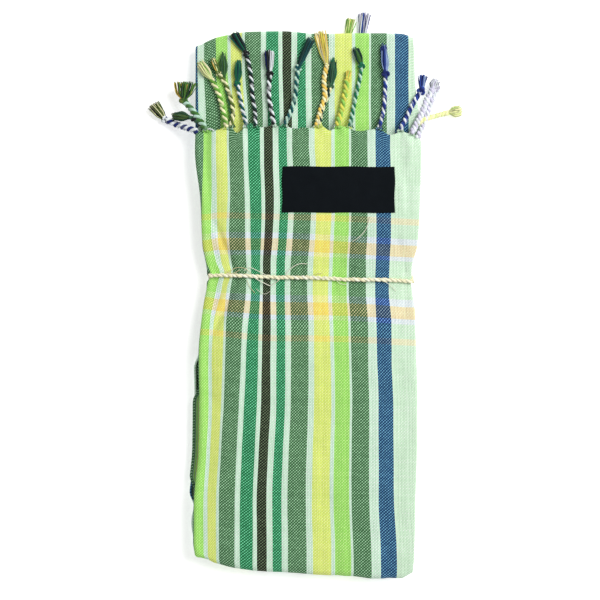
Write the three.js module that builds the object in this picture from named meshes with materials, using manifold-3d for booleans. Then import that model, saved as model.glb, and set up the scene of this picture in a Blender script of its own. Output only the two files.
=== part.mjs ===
// A kikoy: one striped cotton cloth with twisted ends, folded into a flat bundle,
// tied round the waist with twine, with a woven label on its front flap.
// Millimetres. +X right, +Y towards the top fold, +Z up. The bundle lies on z = 0.
import * as THREE from "three";
import Module from "manifold-3d";

const wasm = await Module();
wasm.setup();

// ---------------------------------------------------------------- sizes
const WALL = 1.2; // a cloth stretch that shows, with the ply behind it
const GAP = 0.3; // between neighbouring pieces
const HALF_GAP = GAP / 2;
const HEM_WRAP = 30; // how far a stretch runs on, out of sight, past its fold
const TUCK = 26; // how far the middle fold runs on below the front flap
const LIP = 0.16; // share of a packet's thickness that its wrapped edge leaves open
const EDGE_ROUND = 2.1; // how far in a packet's side is rounded
const WAIST_Y = 16.8; // where the twine goes round
const TWINE = { radius: 1.35, sides: 8, lift: 0.3, tilt: -0.03 };
const LABEL = { width: 87.5, height: 35.8, thick: 0.7, x: 25.6, y: 85.4, turn: -0.012 };
const FRINGE = { thick: 2.9, clear: 0.3 };

// How the cloth is folded. The width is folded in six into a packet, and the packet in
// four along its length. Packet 1 is the front flap, 4 lies on the table.
// Heights of the faces between the packets, from the table up.
const HEIGHTS = [
  { y: -221, z0: 0.0, z1: 4.5, z2: 9.2, z3: 13.9, z4: 18.5 },
  { y: -190, z0: 0.0, z1: 4.8, z2: 9.7, z3: 14.6, z4: 19.4 },
  { y: -110, z0: 0.0, z1: 4.9, z2: 9.9, z3: 14.9, z4: 19.8 },
  { y: -45, z0: 0.0, z1: 4.9, z2: 9.8, z3: 14.7, z4: 19.5 },
  { y: -15, z0: 0.5, z1: 4.9, z2: 9.4, z3: 13.9, z4: 18.2 },
  { y: 0, z0: 2.2, z1: 5.7, z2: 9.2, z3: 12.7, z4: 16.2 },
  { y: 10, z0: 3.3, z1: 6.2, z2: 9.2, z3: 12.2, z4: 15.1 },
  { y: 24, z0: 3.3, z1: 6.2, z2: 9.2, z3: 12.2, z4: 15.1 },
  { y: 34, z0: 2.2, z1: 5.7, z2: 9.2, z3: 12.7, z4: 16.2 },
  { y: 50, z0: 0.4, z1: 4.8, z2: 9.3, z3: 13.8, z4: 18.2 },
  { y: 85, z0: 0.0, z1: 4.8, z2: 9.6, z3: 14.4, z4: 19.2 },
  { y: 120, z0: 0.0, z1: 4.7, z2: 9.4, z3: 14.1, z4: 18.8 },
  { y: 142, z0: 0.0, z1: 4.5, z2: 9.1, z3: 13.8, z4: 18.4 },
  { y: 160, z0: -0.6, z1: 3.9, z2: 8.5, z3: 13.2, z4: 17.8 },
  { y: 180, z0: -1.0, z1: 3.5, z2: 8.1, z3: 12.8, z4: 17.4 },
  { y: 212, z0: -1.1, z1: 3.4, z2: 7.9, z3: 12.5, z4: 17.0 },
];

// The bundle's sides.
const SIDES = [
  { y: -222, left: -79.0, right: 80.5 },
  { y: -214, left: -80.5, right: 83.0 },
  { y: -206, left: -83.0, right: 84.3 },
  { y: -198, left: -86.6, right: 84.8 },
  { y: -188, left: -88.0, right: 85.2 },
  { y: -160, left: -87.6, right: 85.6 },
  { y: -115, left: -83.6, right: 87.0 },
  { y: -78, left: -83.2, right: 87.2 },
  { y: -45, left: -83.8, right: 86.4 },
  { y: -8, left: -80.6, right: 85.4 },
  { y: 2, left: -79.0, right: 84.0 },
  { y: 10, left: -77.6, right: 83.2 },
  { y: 24, left: -77.6, right: 83.2 },
  { y: 32, left: -78.9, right: 84.8 },
  { y: 42, left: -80.8, right: 87.4 },
  { y: 78, left: -82.4, right: 89.4 },
  { y: 116, left: -86.6, right: 90.4 },
  { y: 136, left: -86.2, right: 89.6 },
  { y: 170, left: -86.2, right: 86.0 },
  { y: 195, left: -86.2, right: 85.4 },
  { y: 206, left: -80.5, right: 83.6 },
  { y: 212, left: -70.0, right: 82.0 },
];

// Where a lower packet's side lies in or out of the line above: out is a soft bump.
const STEPS = [
  { packet: 2, side: "left", from: -230, to: 130, out: -1.2 },
  { packet: 2, side: "right", from: -230, to: 130, out: -0.8 },
  { packet: 3, side: "left", from: -152, to: -66, out: 6.0 },
  { packet: 3, side: "left", from: -190, to: -160, out: 1.8 },
  { packet: 3, side: "left", from: -40, to: 125, out: -0.8 },
  { packet: 3, side: "right", from: -150, to: 60, out: -0.9 },
  { packet: 4, side: "left", from: -165, to: -40, out: 4.4 },
  { packet: 4, side: "right", from: -190, to: 20, out: -1.6 },
];

// The ends, across the bundle: the two twisted ends, the folds at the bottom and the top.
const ENDS = [
  { x: -90, front: 130.0, back: 140.6, low1: -196.5, low2: -195.5, top: 194.0 },
  { x: -82, front: 132.5, back: 140.9, low1: -201.2, low2: -199.5, top: 199.5 },
  { x: -70, front: 134.5, back: 141.2, low1: -207.2, low2: -206.0, top: 206.0 },
  { x: -47, front: 136.8, back: 141.4, low1: -211.0, low2: -209.5, top: 210.2 },
  { x: -20, front: 136.2, back: 141.3, low1: -212.9, low2: -211.5, top: 210.6 },
  { x: 8, front: 136.6, back: 141.2, low1: -214.9, low2: -213.5, top: 208.6 },
  { x: 35, front: 136.8, back: 141.3, low1: -215.7, low2: -214.5, top: 209.0 },
  { x: 57, front: 135.0, back: 141.4, low1: -217.8, low2: -216.0, top: 209.0 },
  { x: 76, front: 131.8, back: 141.2, low1: -217.4, low2: -216.2, top: 208.6 },
  { x: 85, front: 127.0, back: 140.9, low1: -212.5, low2: -212.0, top: 205.0 },
  { x: 92, front: 123.0, back: 140.6, low1: -207.5, low2: -207.0, top: 197.0 },
];

// ---------------------------------------------------------------- tables
const mix = (a, b, t) => a + (b - a) * t;
const clamp01 = (t) => Math.min(1, Math.max(0, t));
const soft = (t) => clamp01(t) ** 2 * (3 - 2 * clamp01(t));

// A smooth curve through one column of a table, never past its neighbours.
function column(table, by, key) {
  const xs = table.map((row) => row[by]);
  const vs = table.map((row) => row[key]);
  const n = xs.length;
  const d = xs.slice(1).map((x, i) => (vs[i + 1] - vs[i]) / (x - xs[i]));
  const m = vs.map((_, i) => {
    if (i === 0) return d[0];
    if (i === n - 1) return d[n - 2];
    return d[i - 1] * d[i] <= 0 ? 0 : (2 * d[i - 1] * d[i]) / (d[i - 1] + d[i]);
  });
  return (x) => {
    if (x <= xs[0]) return vs[0];
    if (x >= xs[n - 1]) return vs[n - 1];
    let i = 0;
    while (x > xs[i + 1]) i++;
    const h = xs[i + 1] - xs[i];
    const t = (x - xs[i]) / h;
    return (
      vs[i] * (2 * t ** 3 - 3 * t ** 2 + 1) +
      vs[i + 1] * (3 * t ** 2 - 2 * t ** 3) +
      m[i] * h * (t ** 3 - 2 * t ** 2 + t) +
      m[i + 1] * h * (t ** 3 - t ** 2)
    );
  };
}
const face = ["z0", "z1", "z2", "z3", "z4"].map((key) => column(HEIGHTS, "y", key));
const side = { left: column(SIDES, "y", "left"), right: column(SIDES, "y", "right") };
const end = Object.fromEntries(
  ["front", "back", "low1", "low2", "top"].map((key) => [key, column(ENDS, "x", key)]),
);

// A packet's left or right side at y.
function sideOf(packet, which, y) {
  const away = which === "left" ? -1 : 1;
  let x = side[which](y);
  for (const s of STEPS) {
    if (s.packet !== packet || s.side !== which || y <= s.from || y >= s.to) continue;
    const ease = Math.min(14, (s.to - s.from) / 2);
    x += away * s.out * soft((y - s.from) / ease) * soft((s.to - y) / ease);
  }
  return x;
}

// ---------------------------------------------------------------- the folded path
// A packet's own two faces: a is the face that shows on the front flap, b is the other.
const PACKETS = {
  1: { a: (y) => face[4](y), b: (y) => face[3](y) + HALF_GAP },
  2: { a: (y) => face[2](y) + HALF_GAP, b: (y) => face[3](y) - HALF_GAP },
  3: { a: (y) => face[2](y) - HALF_GAP, b: (y) => face[1](y) + HALF_GAP },
  4: { a: (y) => face[0](y), b: (y) => face[1](y) - HALF_GAP },
};
// The three folds, each between two packets, and which end of the bundle they are at.
const FOLDS = {
  F1: { upper: 1, lower: 2, at: (x) => end.low1(x), way: -1 },
  M: { upper: 2, lower: 3, at: (x) => end.top(x), way: 1 },
  F3: { upper: 3, lower: 4, at: (x) => end.low2(x), way: -1 },
};
const thick = (p, y) => Math.abs(PACKETS[p].a(y) - PACKETS[p].b(y));
// The middle of a fold's curve, so that its outside just reaches the fold line.
function foldCentre(fold, x) {
  const y = fold.at(x);
  return y - fold.way * (thick(fold.upper, y) + HALF_GAP);
}

// Where each packet starts and ends along y, at x.
const RUNS = {
  1: [(x) => end.front(x), (x) => foldCentre(FOLDS.F1, x)],
  2: [(x) => foldCentre(FOLDS.F1, x), (x) => foldCentre(FOLDS.M, x)],
  3: [(x) => foldCentre(FOLDS.M, x), (x) => foldCentre(FOLDS.F3, x)],
  4: [(x) => foldCentre(FOLDS.F3, x), (x) => end.back(x)],
};

// The point of a packet at share t of its run, share u across and share m from face b to a.
// inX is how far the side is set in. The side is rounded.
function onPacket(p, t, u, m, inX) {
  const yMid = mix(RUNS[p][0](0), RUNS[p][1](0), t);
  const guess = mix(sideOf(p, "left", yMid), sideOf(p, "right", yMid), u);
  const y = mix(RUNS[p][0](guess), RUNS[p][1](guess), t);
  const round = EDGE_ROUND * (1 - Math.sqrt(Math.max(0, 1 - (2 * m - 1) ** 2)));
  const x = mix(sideOf(p, "left", y) + inX + round, sideOf(p, "right", y) - inX - round, u);
  return { x, y, z: mix(PACKETS[p].b(y), PACKETS[p].a(y), m) };
}
function onFold(fold, turn, u, m, inX) {
  const out = fold.way < 0 ? m : 1 - m;
  const top = onPacket(fold.upper, 1, u, m, inX);
  const low = onPacket(fold.lower, 0, u, m, inX);
  const angle = (0.5 - turn) * Math.PI;
  const reach = mix(HALF_GAP, thick(fold.upper, top.y) + HALF_GAP, out);
  const k = turn;
  return {
    x: mix(top.x, low.x, k),
    y: mix(top.y, low.y, k) + fold.way * reach * Math.cos(angle),
    z: (top.z + low.z) / 2 + ((top.z - low.z) / 2) * Math.sin(angle),
  };
}

// The stops of a walk along the path: on a packet or fold, at a share of it.
function walk(...legs) {
  const stops = [];
  for (const { on, from, to, steps, by } of legs) {
    const shares = by ?? Array.from({ length: steps + 1 }, (_, i) => mix(from, to, i / steps));
    shares.forEach((share, i) => {
      if (i > 0 || !stops.length) stops.push({ on, at: share });
    });
  }
  return stops;
}
const at = ({ on, at: share }, u, m, inX) =>
  on in FOLDS ? onFold(FOLDS[on], share, u, m, inX) : onPacket(on, share, u, m, inX);
// The share of a packet's run that lies at y.
const shareAt = (p, y) => clamp01((y - RUNS[p][0](0)) / (RUNS[p][1](0) - RUNS[p][0](0)));

// ---------------------------------------------------------------- meshes
function geometry(points, triangles) {
  const g = new THREE.BufferGeometry();
  g.setAttribute("position", new THREE.Float32BufferAttribute(points.flatMap((p) => [p.x, p.y, p.z]), 3));
  g.setIndex(triangles.flat());
  return g;
}
// Volume by signed tetrahedra, to see which way the faces point.
function volume(points, triangles) {
  let v = 0;
  for (const [a, b, c] of triangles) {
    const A = points[a], B = points[b], C = points[c];
    v += A.x * (B.y * C.z - B.z * C.y) + A.y * (B.z * C.x - B.x * C.z) + A.z * (B.x * C.y - B.y * C.x);
  }
  return v / 6;
}
// A closed body through rings of equally many points, with a fan over each end ring's strip.
function body(rings, capOf, closed = false) {
  const n = rings[0].length;
  const points = rings.flat();
  const triangles = [];
  const last = closed ? rings.length : rings.length - 1;
  for (let r = 0; r < last; r++) {
    const s = (r + 1) % rings.length;
    for (let i = 0; i < n; i++) {
      const j = (i + 1) % n;
      triangles.push([r * n + i, r * n + j, s * n + j], [r * n + i, s * n + j, s * n + i]);
    }
  }
  if (!closed) {
    const base = (rings.length - 1) * n;
    for (const [a, b, c] of capOf) {
      triangles.push([a, c, b], [base + a, base + b, base + c]);
    }
  }
  if (volume(points, triangles) < 0) for (const t of triangles) t.reverse();
  return geometry(points, triangles);
}
// Triangles over a ring that runs out along one line and back along the other.
function strip(n) {
  const half = n / 2;
  const cap = [];
  for (let i = 0; i < half - 1; i++) {
    const a = i, b = i + 1, c = n - 2 - i, d = n - 1 - i;
    cap.push([a, b, c], [a, c, d]);
  }
  return cap;
}

// A wall that covers face a or b of the packets, and wraps round their sides.
const ACROSS = [0, 0.08, 0.36, 0.64, 0.92, 1];
const ROUND = [LIP, 0.45, 0.75, 0.93];
const thickAt = (stop) => thick(stop.on in FOLDS ? FOLDS[stop.on].upper : stop.on, at(stop, 0.5, 0.5, 0).y);
function wallRing(stop, showsA) {
  const far = (m) => (showsA ? m : 1 - m);
  const kept = 1 - WALL / thickAt(stop);
  const inward = ROUND.map((m, i) => (i === 0 ? LIP : m * kept)); // the lips end square
  const ring = [];
  for (const m of ROUND) ring.push(at(stop, 0, far(m), 0));
  for (const u of ACROSS) ring.push(at(stop, u, far(1), 0));
  for (const m of [...ROUND].reverse()) ring.push(at(stop, 1, far(m), 0));
  for (const m of inward) ring.push(at(stop, 1, far(m), WALL));
  for (const u of [...ACROSS].reverse()) ring.push(at(stop, u, far(kept), WALL));
  for (const m of [...inward].reverse()) ring.push(at(stop, 0, far(m), WALL));
  return ring;
}
const wall = (stops, showsA) => {
  const rings = stops.map((s) => wallRing(s, showsA));
  return body(rings, strip(rings[0].length));
};

// The inner layers: one belt that follows the path, its sides grooved into plies.
const PLIES = 2; // ridges on a packet's side
const GROOVE = 0.9;
const SPAN = ACROSS.slice(1, -1);
function coreRing({ stop, inA, inB, inX }) {
  const t = thickAt(stop);
  const lo = inB / t, hi = 1 - inA / t;
  const edge = [];
  for (let i = 0; i <= 2 * PLIES; i++) edge.push({ m: mix(lo, hi, i / (2 * PLIES)), dip: i % 2 ? 0 : GROOVE });
  return [
    ...edge.map(({ m, dip }) => at(stop, 0, m, inX + dip)),
    ...SPAN.map((u) => at(stop, u, hi, inX + GROOVE)),
    ...[...edge].reverse().map(({ m, dip }) => at(stop, 1, m, inX + dip)),
    ...[...SPAN].reverse().map((u) => at(stop, u, lo, inX + GROOVE)),
  ];
}
function coreCap() {
  const k = 2 * PLIES + 1, n = SPAN.length;
  const L = (i) => i; // up the left side
  const T = (i) => k + i; // over the top, left to right
  const R = (i) => k + n + (k - 1 - i); // the right side, at the same heights
  const B = (i) => 2 * k + n + (n - 1 - i); // along the bottom, left to right
  const cap = [];
  for (let i = 1; i < k - 2; i++) cap.push([L(i), R(i + 1), L(i + 1)], [L(i), R(i), R(i + 1)]);
  cap.push([L(k - 2), T(0), L(k - 1)]);
  for (let i = 0; i < n - 1; i++) cap.push([L(k - 2), T(i + 1), T(i)]);
  cap.push([L(k - 2), R(k - 2), T(n - 1)], [R(k - 2), R(k - 1), T(n - 1)]);
  cap.push([L(1), L(0), B(0)]);
  for (let i = 0; i < n - 1; i++) cap.push([L(1), B(i), B(i + 1)]);
  cap.push([L(1), B(n - 1), R(1)], [R(1), B(n - 1), R(0)]);
  return cap.map(([a, b, c]) => [a, c, b]);
}

// ---------------------------------------------------------------- cloth
const F = shareAt;
const low1 = RUNS[1][1](0), low3 = RUNS[3][1](0);
const BACK_IN = 142 - TUCK, FRONT_IN = 132 - TUCK; // where the middle fold's two ends lie
// Stretches of the path. A wall and the inner layers below it share their stops.
const WAIST_STOPS = [60, 46, 34, 24, 10, 0, -12, -30]; // the pinch below the twine
const waist = (p) => ({ on: p, by: (p % 2 ? WAIST_STOPS : [...WAIST_STOPS].reverse()).map((y) => F(p, y)) });
const flapLegs = [
  { on: 1, from: 0, to: F(1, 60), steps: 3 },
  waist(1),
  { on: 1, from: F(1, -30), to: F(1, -185), steps: 5 },
  { on: 1, from: F(1, -185), to: 1, steps: 3 },
  { on: "F1", from: 0, to: 1, steps: 5 },
  { on: 2, from: 0, to: F(2, low1 + HEM_WRAP), steps: 3 },
];
const between2 = [
  { on: 2, from: F(2, low1 + HEM_WRAP + 2), to: F(2, -30), steps: 5 },
  waist(2),
  { on: 2, from: F(2, 60), to: F(2, FRONT_IN - 2), steps: 2 },
];
const middleLegs = [
  { on: 2, from: F(2, FRONT_IN), to: F(2, 150), steps: 3 },
  { on: 2, from: F(2, 150), to: 1, steps: 4 },
  { on: "M", from: 0, to: 1, steps: 5 },
  { on: 3, from: 0, to: F(3, 150), steps: 4 },
  { on: 3, from: F(3, 150), to: F(3, BACK_IN), steps: 3 },
];
const between3 = [
  { on: 3, from: F(3, BACK_IN - 2), to: F(3, 60), steps: 2 },
  waist(3),
  { on: 3, from: F(3, -30), to: F(3, low3 + HEM_WRAP + 2), steps: 6 },
];
const underLegs = [
  { on: 3, from: F(3, low3 + HEM_WRAP), to: 1, steps: 3 },
  { on: "F3", from: 0, to: 1, steps: 5 },
  { on: 4, from: 0, to: F(4, -185), steps: 3 },
  { on: 4, from: F(4, -185), to: F(4, -30), steps: 5 },
  waist(4),
  { on: 4, from: F(4, 60), to: 1, steps: 3 },
];
const IN = WALL + GAP;
const belt = [
  [flapLegs, { inA: IN, inB: 0, inX: IN }],
  [between2, { inA: 0, inB: 0, inX: 0 }],
  [middleLegs, { inA: 0, inB: IN, inX: IN }],
  [between3, { inA: 0, inB: 0, inX: 0 }],
  [underLegs, { inA: IN, inB: 0, inX: IN }],
].flatMap(([legs, inset]) => {
  const stops = walk(...legs).map((stop) => ({ stop, ...inset }));
  // past a wall's end the belt stays set in a little further, then widens
  const past = (s, by) => ({ ...s, stop: { on: s.stop.on, at: s.stop.at + by / Math.abs(RUNS[s.stop.on][1](0) - RUNS[s.stop.on][0](0)) } });
  if (inset.inX && legs !== flapLegs) stops.unshift(past(stops[0], -0.5));
  if (inset.inX && legs !== underLegs) stops.push(past(stops[stops.length - 1], 0.5));
  return stops;
});
const coreRings = belt.map(coreRing);
const core = body(coreRings, coreCap());
const frontFlap = wall(walk(...flapLegs), true);
const middleFold = wall(walk(...middleLegs), false);
const underFlap = wall(walk(...underLegs), true);

// ---------------------------------------------------------------- what lies on the cloth
// A slab over a grid: its lower face follows floor(x, y), its outline is given by across.
function slab(xs, shares, yFrom, yTo, floor, height) {
  const rows = [];
  for (const s of shares) {
    const low = [], high = [];
    for (const x of xs) {
      const y = mix(yFrom(x), yTo(x), s);
      const z = floor(x, y);
      low.push({ x, y, z });
      high.push({ x, y, z: z + height(x, s) });
    }
    rows.push([...low, ...high.reverse()]);
  }
  return body(rows, strip(rows[0].length));
}
const onFlap = (x, y) => face[4](y);

// The label follows the flap's face, a little turned, 0.3 mm clear of it.
const labelRows = [];
for (const v of [-0.5, -0.25, 0, 0.25, 0.5]) {
  const low = [], high = [];
  for (const u of [-0.5, -0.25, 0, 0.25, 0.5]) {
    const dx = u * LABEL.width, dy = v * LABEL.height;
    const x = LABEL.x + dx * Math.cos(LABEL.turn) - dy * Math.sin(LABEL.turn);
    const y = LABEL.y + dx * Math.sin(LABEL.turn) + dy * Math.cos(LABEL.turn);
    low.push({ x, y, z: onFlap(x, y) + GAP });
    high.push({ x, y, z: onFlap(x, y) + GAP + LABEL.thick });
  }
  labelRows.push([...low, ...high.reverse()]);
}
const label = body(labelRows, strip(labelRows[0].length));

// The twine: one closed loop round the waist, and its knot below with two short ends.
function twineLoop() {
  const c = TWINE.radius + TWINE.lift;
  const y0 = WAIST_Y;
  const left = side.left(y0) - c, right = side.right(y0) + c;
  const low = face[0](y0) - c, high = face[4](y0) + c;
  const r = 3.1; // how round the loop's corners are
  const path = [];
  const corner = (cx, cz, from) => {
    for (let i = 0; i <= 4; i++) {
      const a = from + (i / 4) * (Math.PI / 2);
      path.push({ x: cx + r * Math.cos(a), z: cz + r * Math.sin(a) });
    }
  };
  const straight = (x0, x1, z, n) => {
    for (let i = 1; i < n; i++) path.push({ x: mix(x0, x1, i / n), z });
  };
  corner(right - r, high - r, 0);
  straight(right - r, left + r, high, 6);
  corner(left + r, high - r, Math.PI / 2);
  corner(left + r, low + r, Math.PI);
  straight(left + r, right - r, low, 6);
  corner(right - r, low + r, 1.5 * Math.PI);
  const centre = (right + left) / 2;
  return path.map((p) => new THREE.Vector3(p.x, y0 + TWINE.tilt * (p.x - centre) * (p.z > (low + high) / 2 ? 1 : -1) * soft(Math.abs(p.z - (low + high) / 2) / 6), p.z));
}
function tube(path, radius, closed) {
  const rings = [];
  const n = path.length;
  for (let i = 0; i < n; i++) {
    const before = path[closed ? (i + n - 1) % n : Math.max(0, i - 1)];
    const after = path[closed ? (i + 1) % n : Math.min(n - 1, i + 1)];
    const along = after.clone().sub(before).normalize();
    const flat = new THREE.Vector3(0, 1, 0);
    if (Math.abs(along.y) > 0.9) flat.set(0, 0, 1);
    const a = flat.clone().sub(along.clone().multiplyScalar(flat.dot(along))).normalize();
    const b = along.clone().cross(a);
    const ring = [];
    for (let k = 0; k < TWINE.sides; k++) {
      const w = ((k + 0.5) / TWINE.sides) * 2 * Math.PI;
      ring.push(path[i].clone().addScaledVector(a, radius * Math.cos(w)).addScaledVector(b, radius * Math.sin(w)));
    }
    rings.push(ring);
  }
  return body(rings, strip(TWINE.sides), closed);
}
function solid(g) {
  const position = g.getAttribute("position");
  const index = g.getIndex();
  return new wasm.Manifold(new wasm.Mesh({
    numProp: 3,
    vertProperties: new Float32Array(position.array),
    triVerts: new Uint32Array(index.array),
  }));
}
function shape(manifold) {
  const mesh = manifold.getMesh();
  const g = new THREE.BufferGeometry();
  const points = [];
  for (let i = 0; i < mesh.vertProperties.length; i += mesh.numProp) {
    points.push(mesh.vertProperties[i], mesh.vertProperties[i + 1], mesh.vertProperties[i + 2]);
  }
  g.setAttribute("position", new THREE.Float32BufferAttribute(points, 3));
  g.setIndex(Array.from(mesh.triVerts));
  return g;
}
const KNOT = { x: -38, halfLength: 4.6, halfWidth: 3.4, halfHeight: 1.36, ends: 15 };
function twine() {
  const loop = solid(tube(twineLoop(), TWINE.radius, true));
  const z = face[0](WAIST_Y) - TWINE.radius - TWINE.lift;
  const y = WAIST_Y - TWINE.tilt * (KNOT.x - 3.3);
  const rings = [];
  for (let i = 1; i < 7; i++) {
    const a = (i / 7) * Math.PI;
    const ring = [];
    for (let k = 0; k < 10; k++) {
      const b = (k / 10) * 2 * Math.PI;
      ring.push({
        x: KNOT.x - KNOT.halfLength * Math.cos(a),
        y: y + KNOT.halfWidth * Math.sin(a) * Math.cos(b),
        z: z + KNOT.halfHeight * Math.sin(a) * Math.sin(b),
      });
    }
    rings.push(ring);
  }
  const knot = solid(body(rings, strip(10)));
  const tail = (way) =>
    solid(tube([
      new THREE.Vector3(KNOT.x + way * 1.0, y + 1.0 * way, z),
      new THREE.Vector3(KNOT.x + way * 4.0, y + 2.6 * way, z),
      new THREE.Vector3(KNOT.x + way * 8.0, y + 3.4 * way, z - 0.05),
      new THREE.Vector3(KNOT.x + way * KNOT.ends, y + 3.9 * way, z - 0.1),
    ], TWINE.radius * 0.85, false));
  return shape(loop.add(knot).add(tail(1)).add(tail(-1)));
}

// The twisted fringes: plain solids of what they reach.
const FRONT_REACH = [
  { x: -83, tip: 176 }, { x: -72, tip: 188 }, { x: -56, tip: 202 }, { x: -38, tip: 203 },
  { x: -20, tip: 196 }, { x: 2, tip: 202 }, { x: 18, tip: 203 }, { x: 40, tip: 200 },
  { x: 62, tip: 198 }, { x: 78, tip: 180 }, { x: 84, tip: 172 },
];
const UNDER_REACH = [
  { x: -74, tip: 176 }, { x: -40, tip: 190 }, { x: 0, tip: 186 }, { x: 24, tip: 200 },
  { x: 32, tip: 221.5 }, { x: 50, tip: 222.4 }, { x: 56, tip: 204 }, { x: 76, tip: 178 },
];
const frontTip = column(FRONT_REACH, "x", "tip");
const underTip = column(UNDER_REACH, "x", "tip");
const onMiddle = (x, y) => PACKETS[2].b(y) + FRINGE.clear;
const fringeFront = slab(
  FRONT_REACH.map((row) => row.x),
  [0, 0.2, 0.45, 0.7, 0.9, 1],
  (x) => end.front(x) + GAP,
  frontTip,
  onMiddle,
  (x, s) => FRINGE.thick * (1 - 0.35 * soft((s - 0.7) / 0.3)),
);
const fringeUnder = slab(
  UNDER_REACH.map((row) => row.x),
  [0, 0.25, 0.5, 0.75, 1],
  (x) => end.back(x) + GAP,
  underTip,
  () => 0.2,
  (x, s) => 2.8 * (1 - 0.25 * soft((s - 0.7) / 0.3)),
);
// The ends that fall off the bundle's side, from its top down to the table.
const FALL = [
  { off: -5, z: 0.0 }, { off: 0.5, z: 0.0 }, { off: 3.5, z: -1.2 }, { off: 9, z: -5.4 },
  { off: 17, z: -9.8 }, { off: 26, z: -12.4 }, { off: 35, z: -13.3 },
];
function fallen(way, edge, yLow, yHigh, reach) {
  const start = PACKETS[2].b(132) + FRINGE.clear;
  const rows = [];
  for (const { off, z: drop } of FALL) {
    const x = edge + way * (off < 1 ? off : (off * reach) / 35);
    const z = start + drop * ((start - 0.3) / 13.3);
    const s = clamp01(off / 35);
    const y0 = mix(yLow.near, yLow.far, s), y1 = mix(yHigh.near, yHigh.far, s);
    const low = [], high = [];
    for (const v of [0, 0.5, 1]) {
      low.push({ x, y: mix(y0, y1, v), z });
      high.push({ x, y: mix(y0, y1, v), z: z + FRINGE.thick });
    }
    rows.push([...low, ...high.reverse()]);
  }
  return body(rows, strip(rows[0].length));
}
const fringeLeft = fallen(-1, -88.6, { near: 136, far: 131 }, { near: 150, far: 170 }, 35);
const fringeRight = fallen(1, 90.4, { near: 132, far: 143 }, { near: 166, far: 174 }, 33.2);

// ---------------------------------------------------------------- the object
const kikoy = new THREE.Group();
function add(name, g, colour, roughness) {
  const mesh = new THREE.Mesh(g, new THREE.MeshStandardMaterial({ color: colour, roughness, metalness: 0 }));
  mesh.name = name;
  kikoy.add(mesh);
}
add("front_flap", frontFlap, 0xa5e073, 0.9);
add("middle_fold", middleFold, 0x7fbf8a, 0.9);
add("under_flap", underFlap, 0x9fd38a, 0.9);
add("hidden_layers", core, 0x649068, 0.92);
add("label", label, 0x212527, 0.75);
add("tie_twine", twine(), 0xeae6c3, 0.88);
add("fringe_front", fringeFront, 0x3f8f63, 0.92);
add("fringe_left", fringeLeft, 0x5a8a4a, 0.92);
add("fringe_right", fringeRight, 0xc9d6d8, 0.92);
add("fringe_under", fringeUnder, 0x3d6986, 0.92);

export default kikoy;
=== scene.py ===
"""The looks of a folded kikoy: striped cotton twill shells, twisted and knotted fringes,
a bare woven label and a tie of natural twine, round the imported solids.
Shapes are worked out in millimetres and turned into metres when a mesh is made."""
import math

import bpy
import numpy as np
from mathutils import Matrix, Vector


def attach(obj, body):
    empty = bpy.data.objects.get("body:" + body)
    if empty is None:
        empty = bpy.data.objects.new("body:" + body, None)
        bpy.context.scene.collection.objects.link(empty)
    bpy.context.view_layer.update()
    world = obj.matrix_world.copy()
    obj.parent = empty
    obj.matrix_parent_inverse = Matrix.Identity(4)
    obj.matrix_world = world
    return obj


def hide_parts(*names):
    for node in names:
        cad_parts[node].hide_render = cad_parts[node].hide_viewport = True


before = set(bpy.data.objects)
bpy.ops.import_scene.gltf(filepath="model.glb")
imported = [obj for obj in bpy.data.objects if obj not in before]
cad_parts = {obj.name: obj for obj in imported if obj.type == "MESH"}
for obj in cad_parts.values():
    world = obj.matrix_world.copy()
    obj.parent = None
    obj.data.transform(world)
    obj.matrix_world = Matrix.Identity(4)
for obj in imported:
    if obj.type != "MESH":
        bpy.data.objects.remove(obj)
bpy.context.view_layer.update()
MM = 0.001
scene = bpy.context.scene

# ------------------------------------------------------------------ the view
# Positions on the cloth are given in the 600 x 600 view's own frame (x right, y down),
# where one step is 0.78 mm, and turned into the row frame here.
STEP = 0.78
MID_X, MID_Y = 305.5, 299.5


def row_x(px):
    return (np.asarray(px, float) - MID_X) * STEP


def row_y(py):
    return (MID_Y - np.asarray(py, float)) * STEP


def view_x(x):
    return np.asarray(x, float) / STEP + MID_X


def view_y(y):
    return MID_Y - np.asarray(y, float) / STEP


# ------------------------------------------------------------------ the folded form
HALF_GAP = 0.15
HEM_WRAP = 30.0
TUCK = 26.0
EDGE_ROUND = 4.0
WAIST_Y = 16.8
TWINE_RADIUS, TWINE_LIFT, TWINE_TILT = 1.35, 0.3, -0.03
LABEL = {"width": 87.5, "height": 35.8, "x": 25.6, "y": 85.4, "turn": -0.004}
CLOTH = 0.46  # thickness of one ply

HEIGHTS_BY = ("y", "z0", "z1", "z2", "z3", "z4")
HEIGHTS = [
    (-221, 0.0, 4.5, 9.2, 13.9, 18.5), (-190, 0.0, 4.8, 9.7, 14.6, 19.4),
    (-110, 0.0, 4.9, 9.9, 14.9, 19.8), (-45, 0.0, 4.9, 9.8, 14.7, 19.5),
    (-15, 0.5, 4.9, 9.4, 13.9, 18.2), (0, 2.2, 5.7, 9.2, 12.7, 16.2),
    (10, 3.3, 6.2, 9.2, 12.2, 15.1), (24, 3.3, 6.2, 9.2, 12.2, 15.1),
    (34, 2.2, 5.7, 9.2, 12.7, 16.2), (50, 0.4, 4.8, 9.3, 13.8, 18.2),
    (85, 0.0, 4.8, 9.6, 14.4, 19.2), (120, 0.0, 4.7, 9.4, 14.1, 18.8),
    (142, 0.0, 4.5, 9.1, 13.8, 18.4), (160, -0.6, 3.9, 8.5, 13.2, 17.8),
    (180, -1.0, 3.5, 8.1, 12.8, 17.4), (212, -1.1, 3.4, 7.9, 12.5, 17.0),
]
SIDES_BY = ("y", "left", "right")
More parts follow.
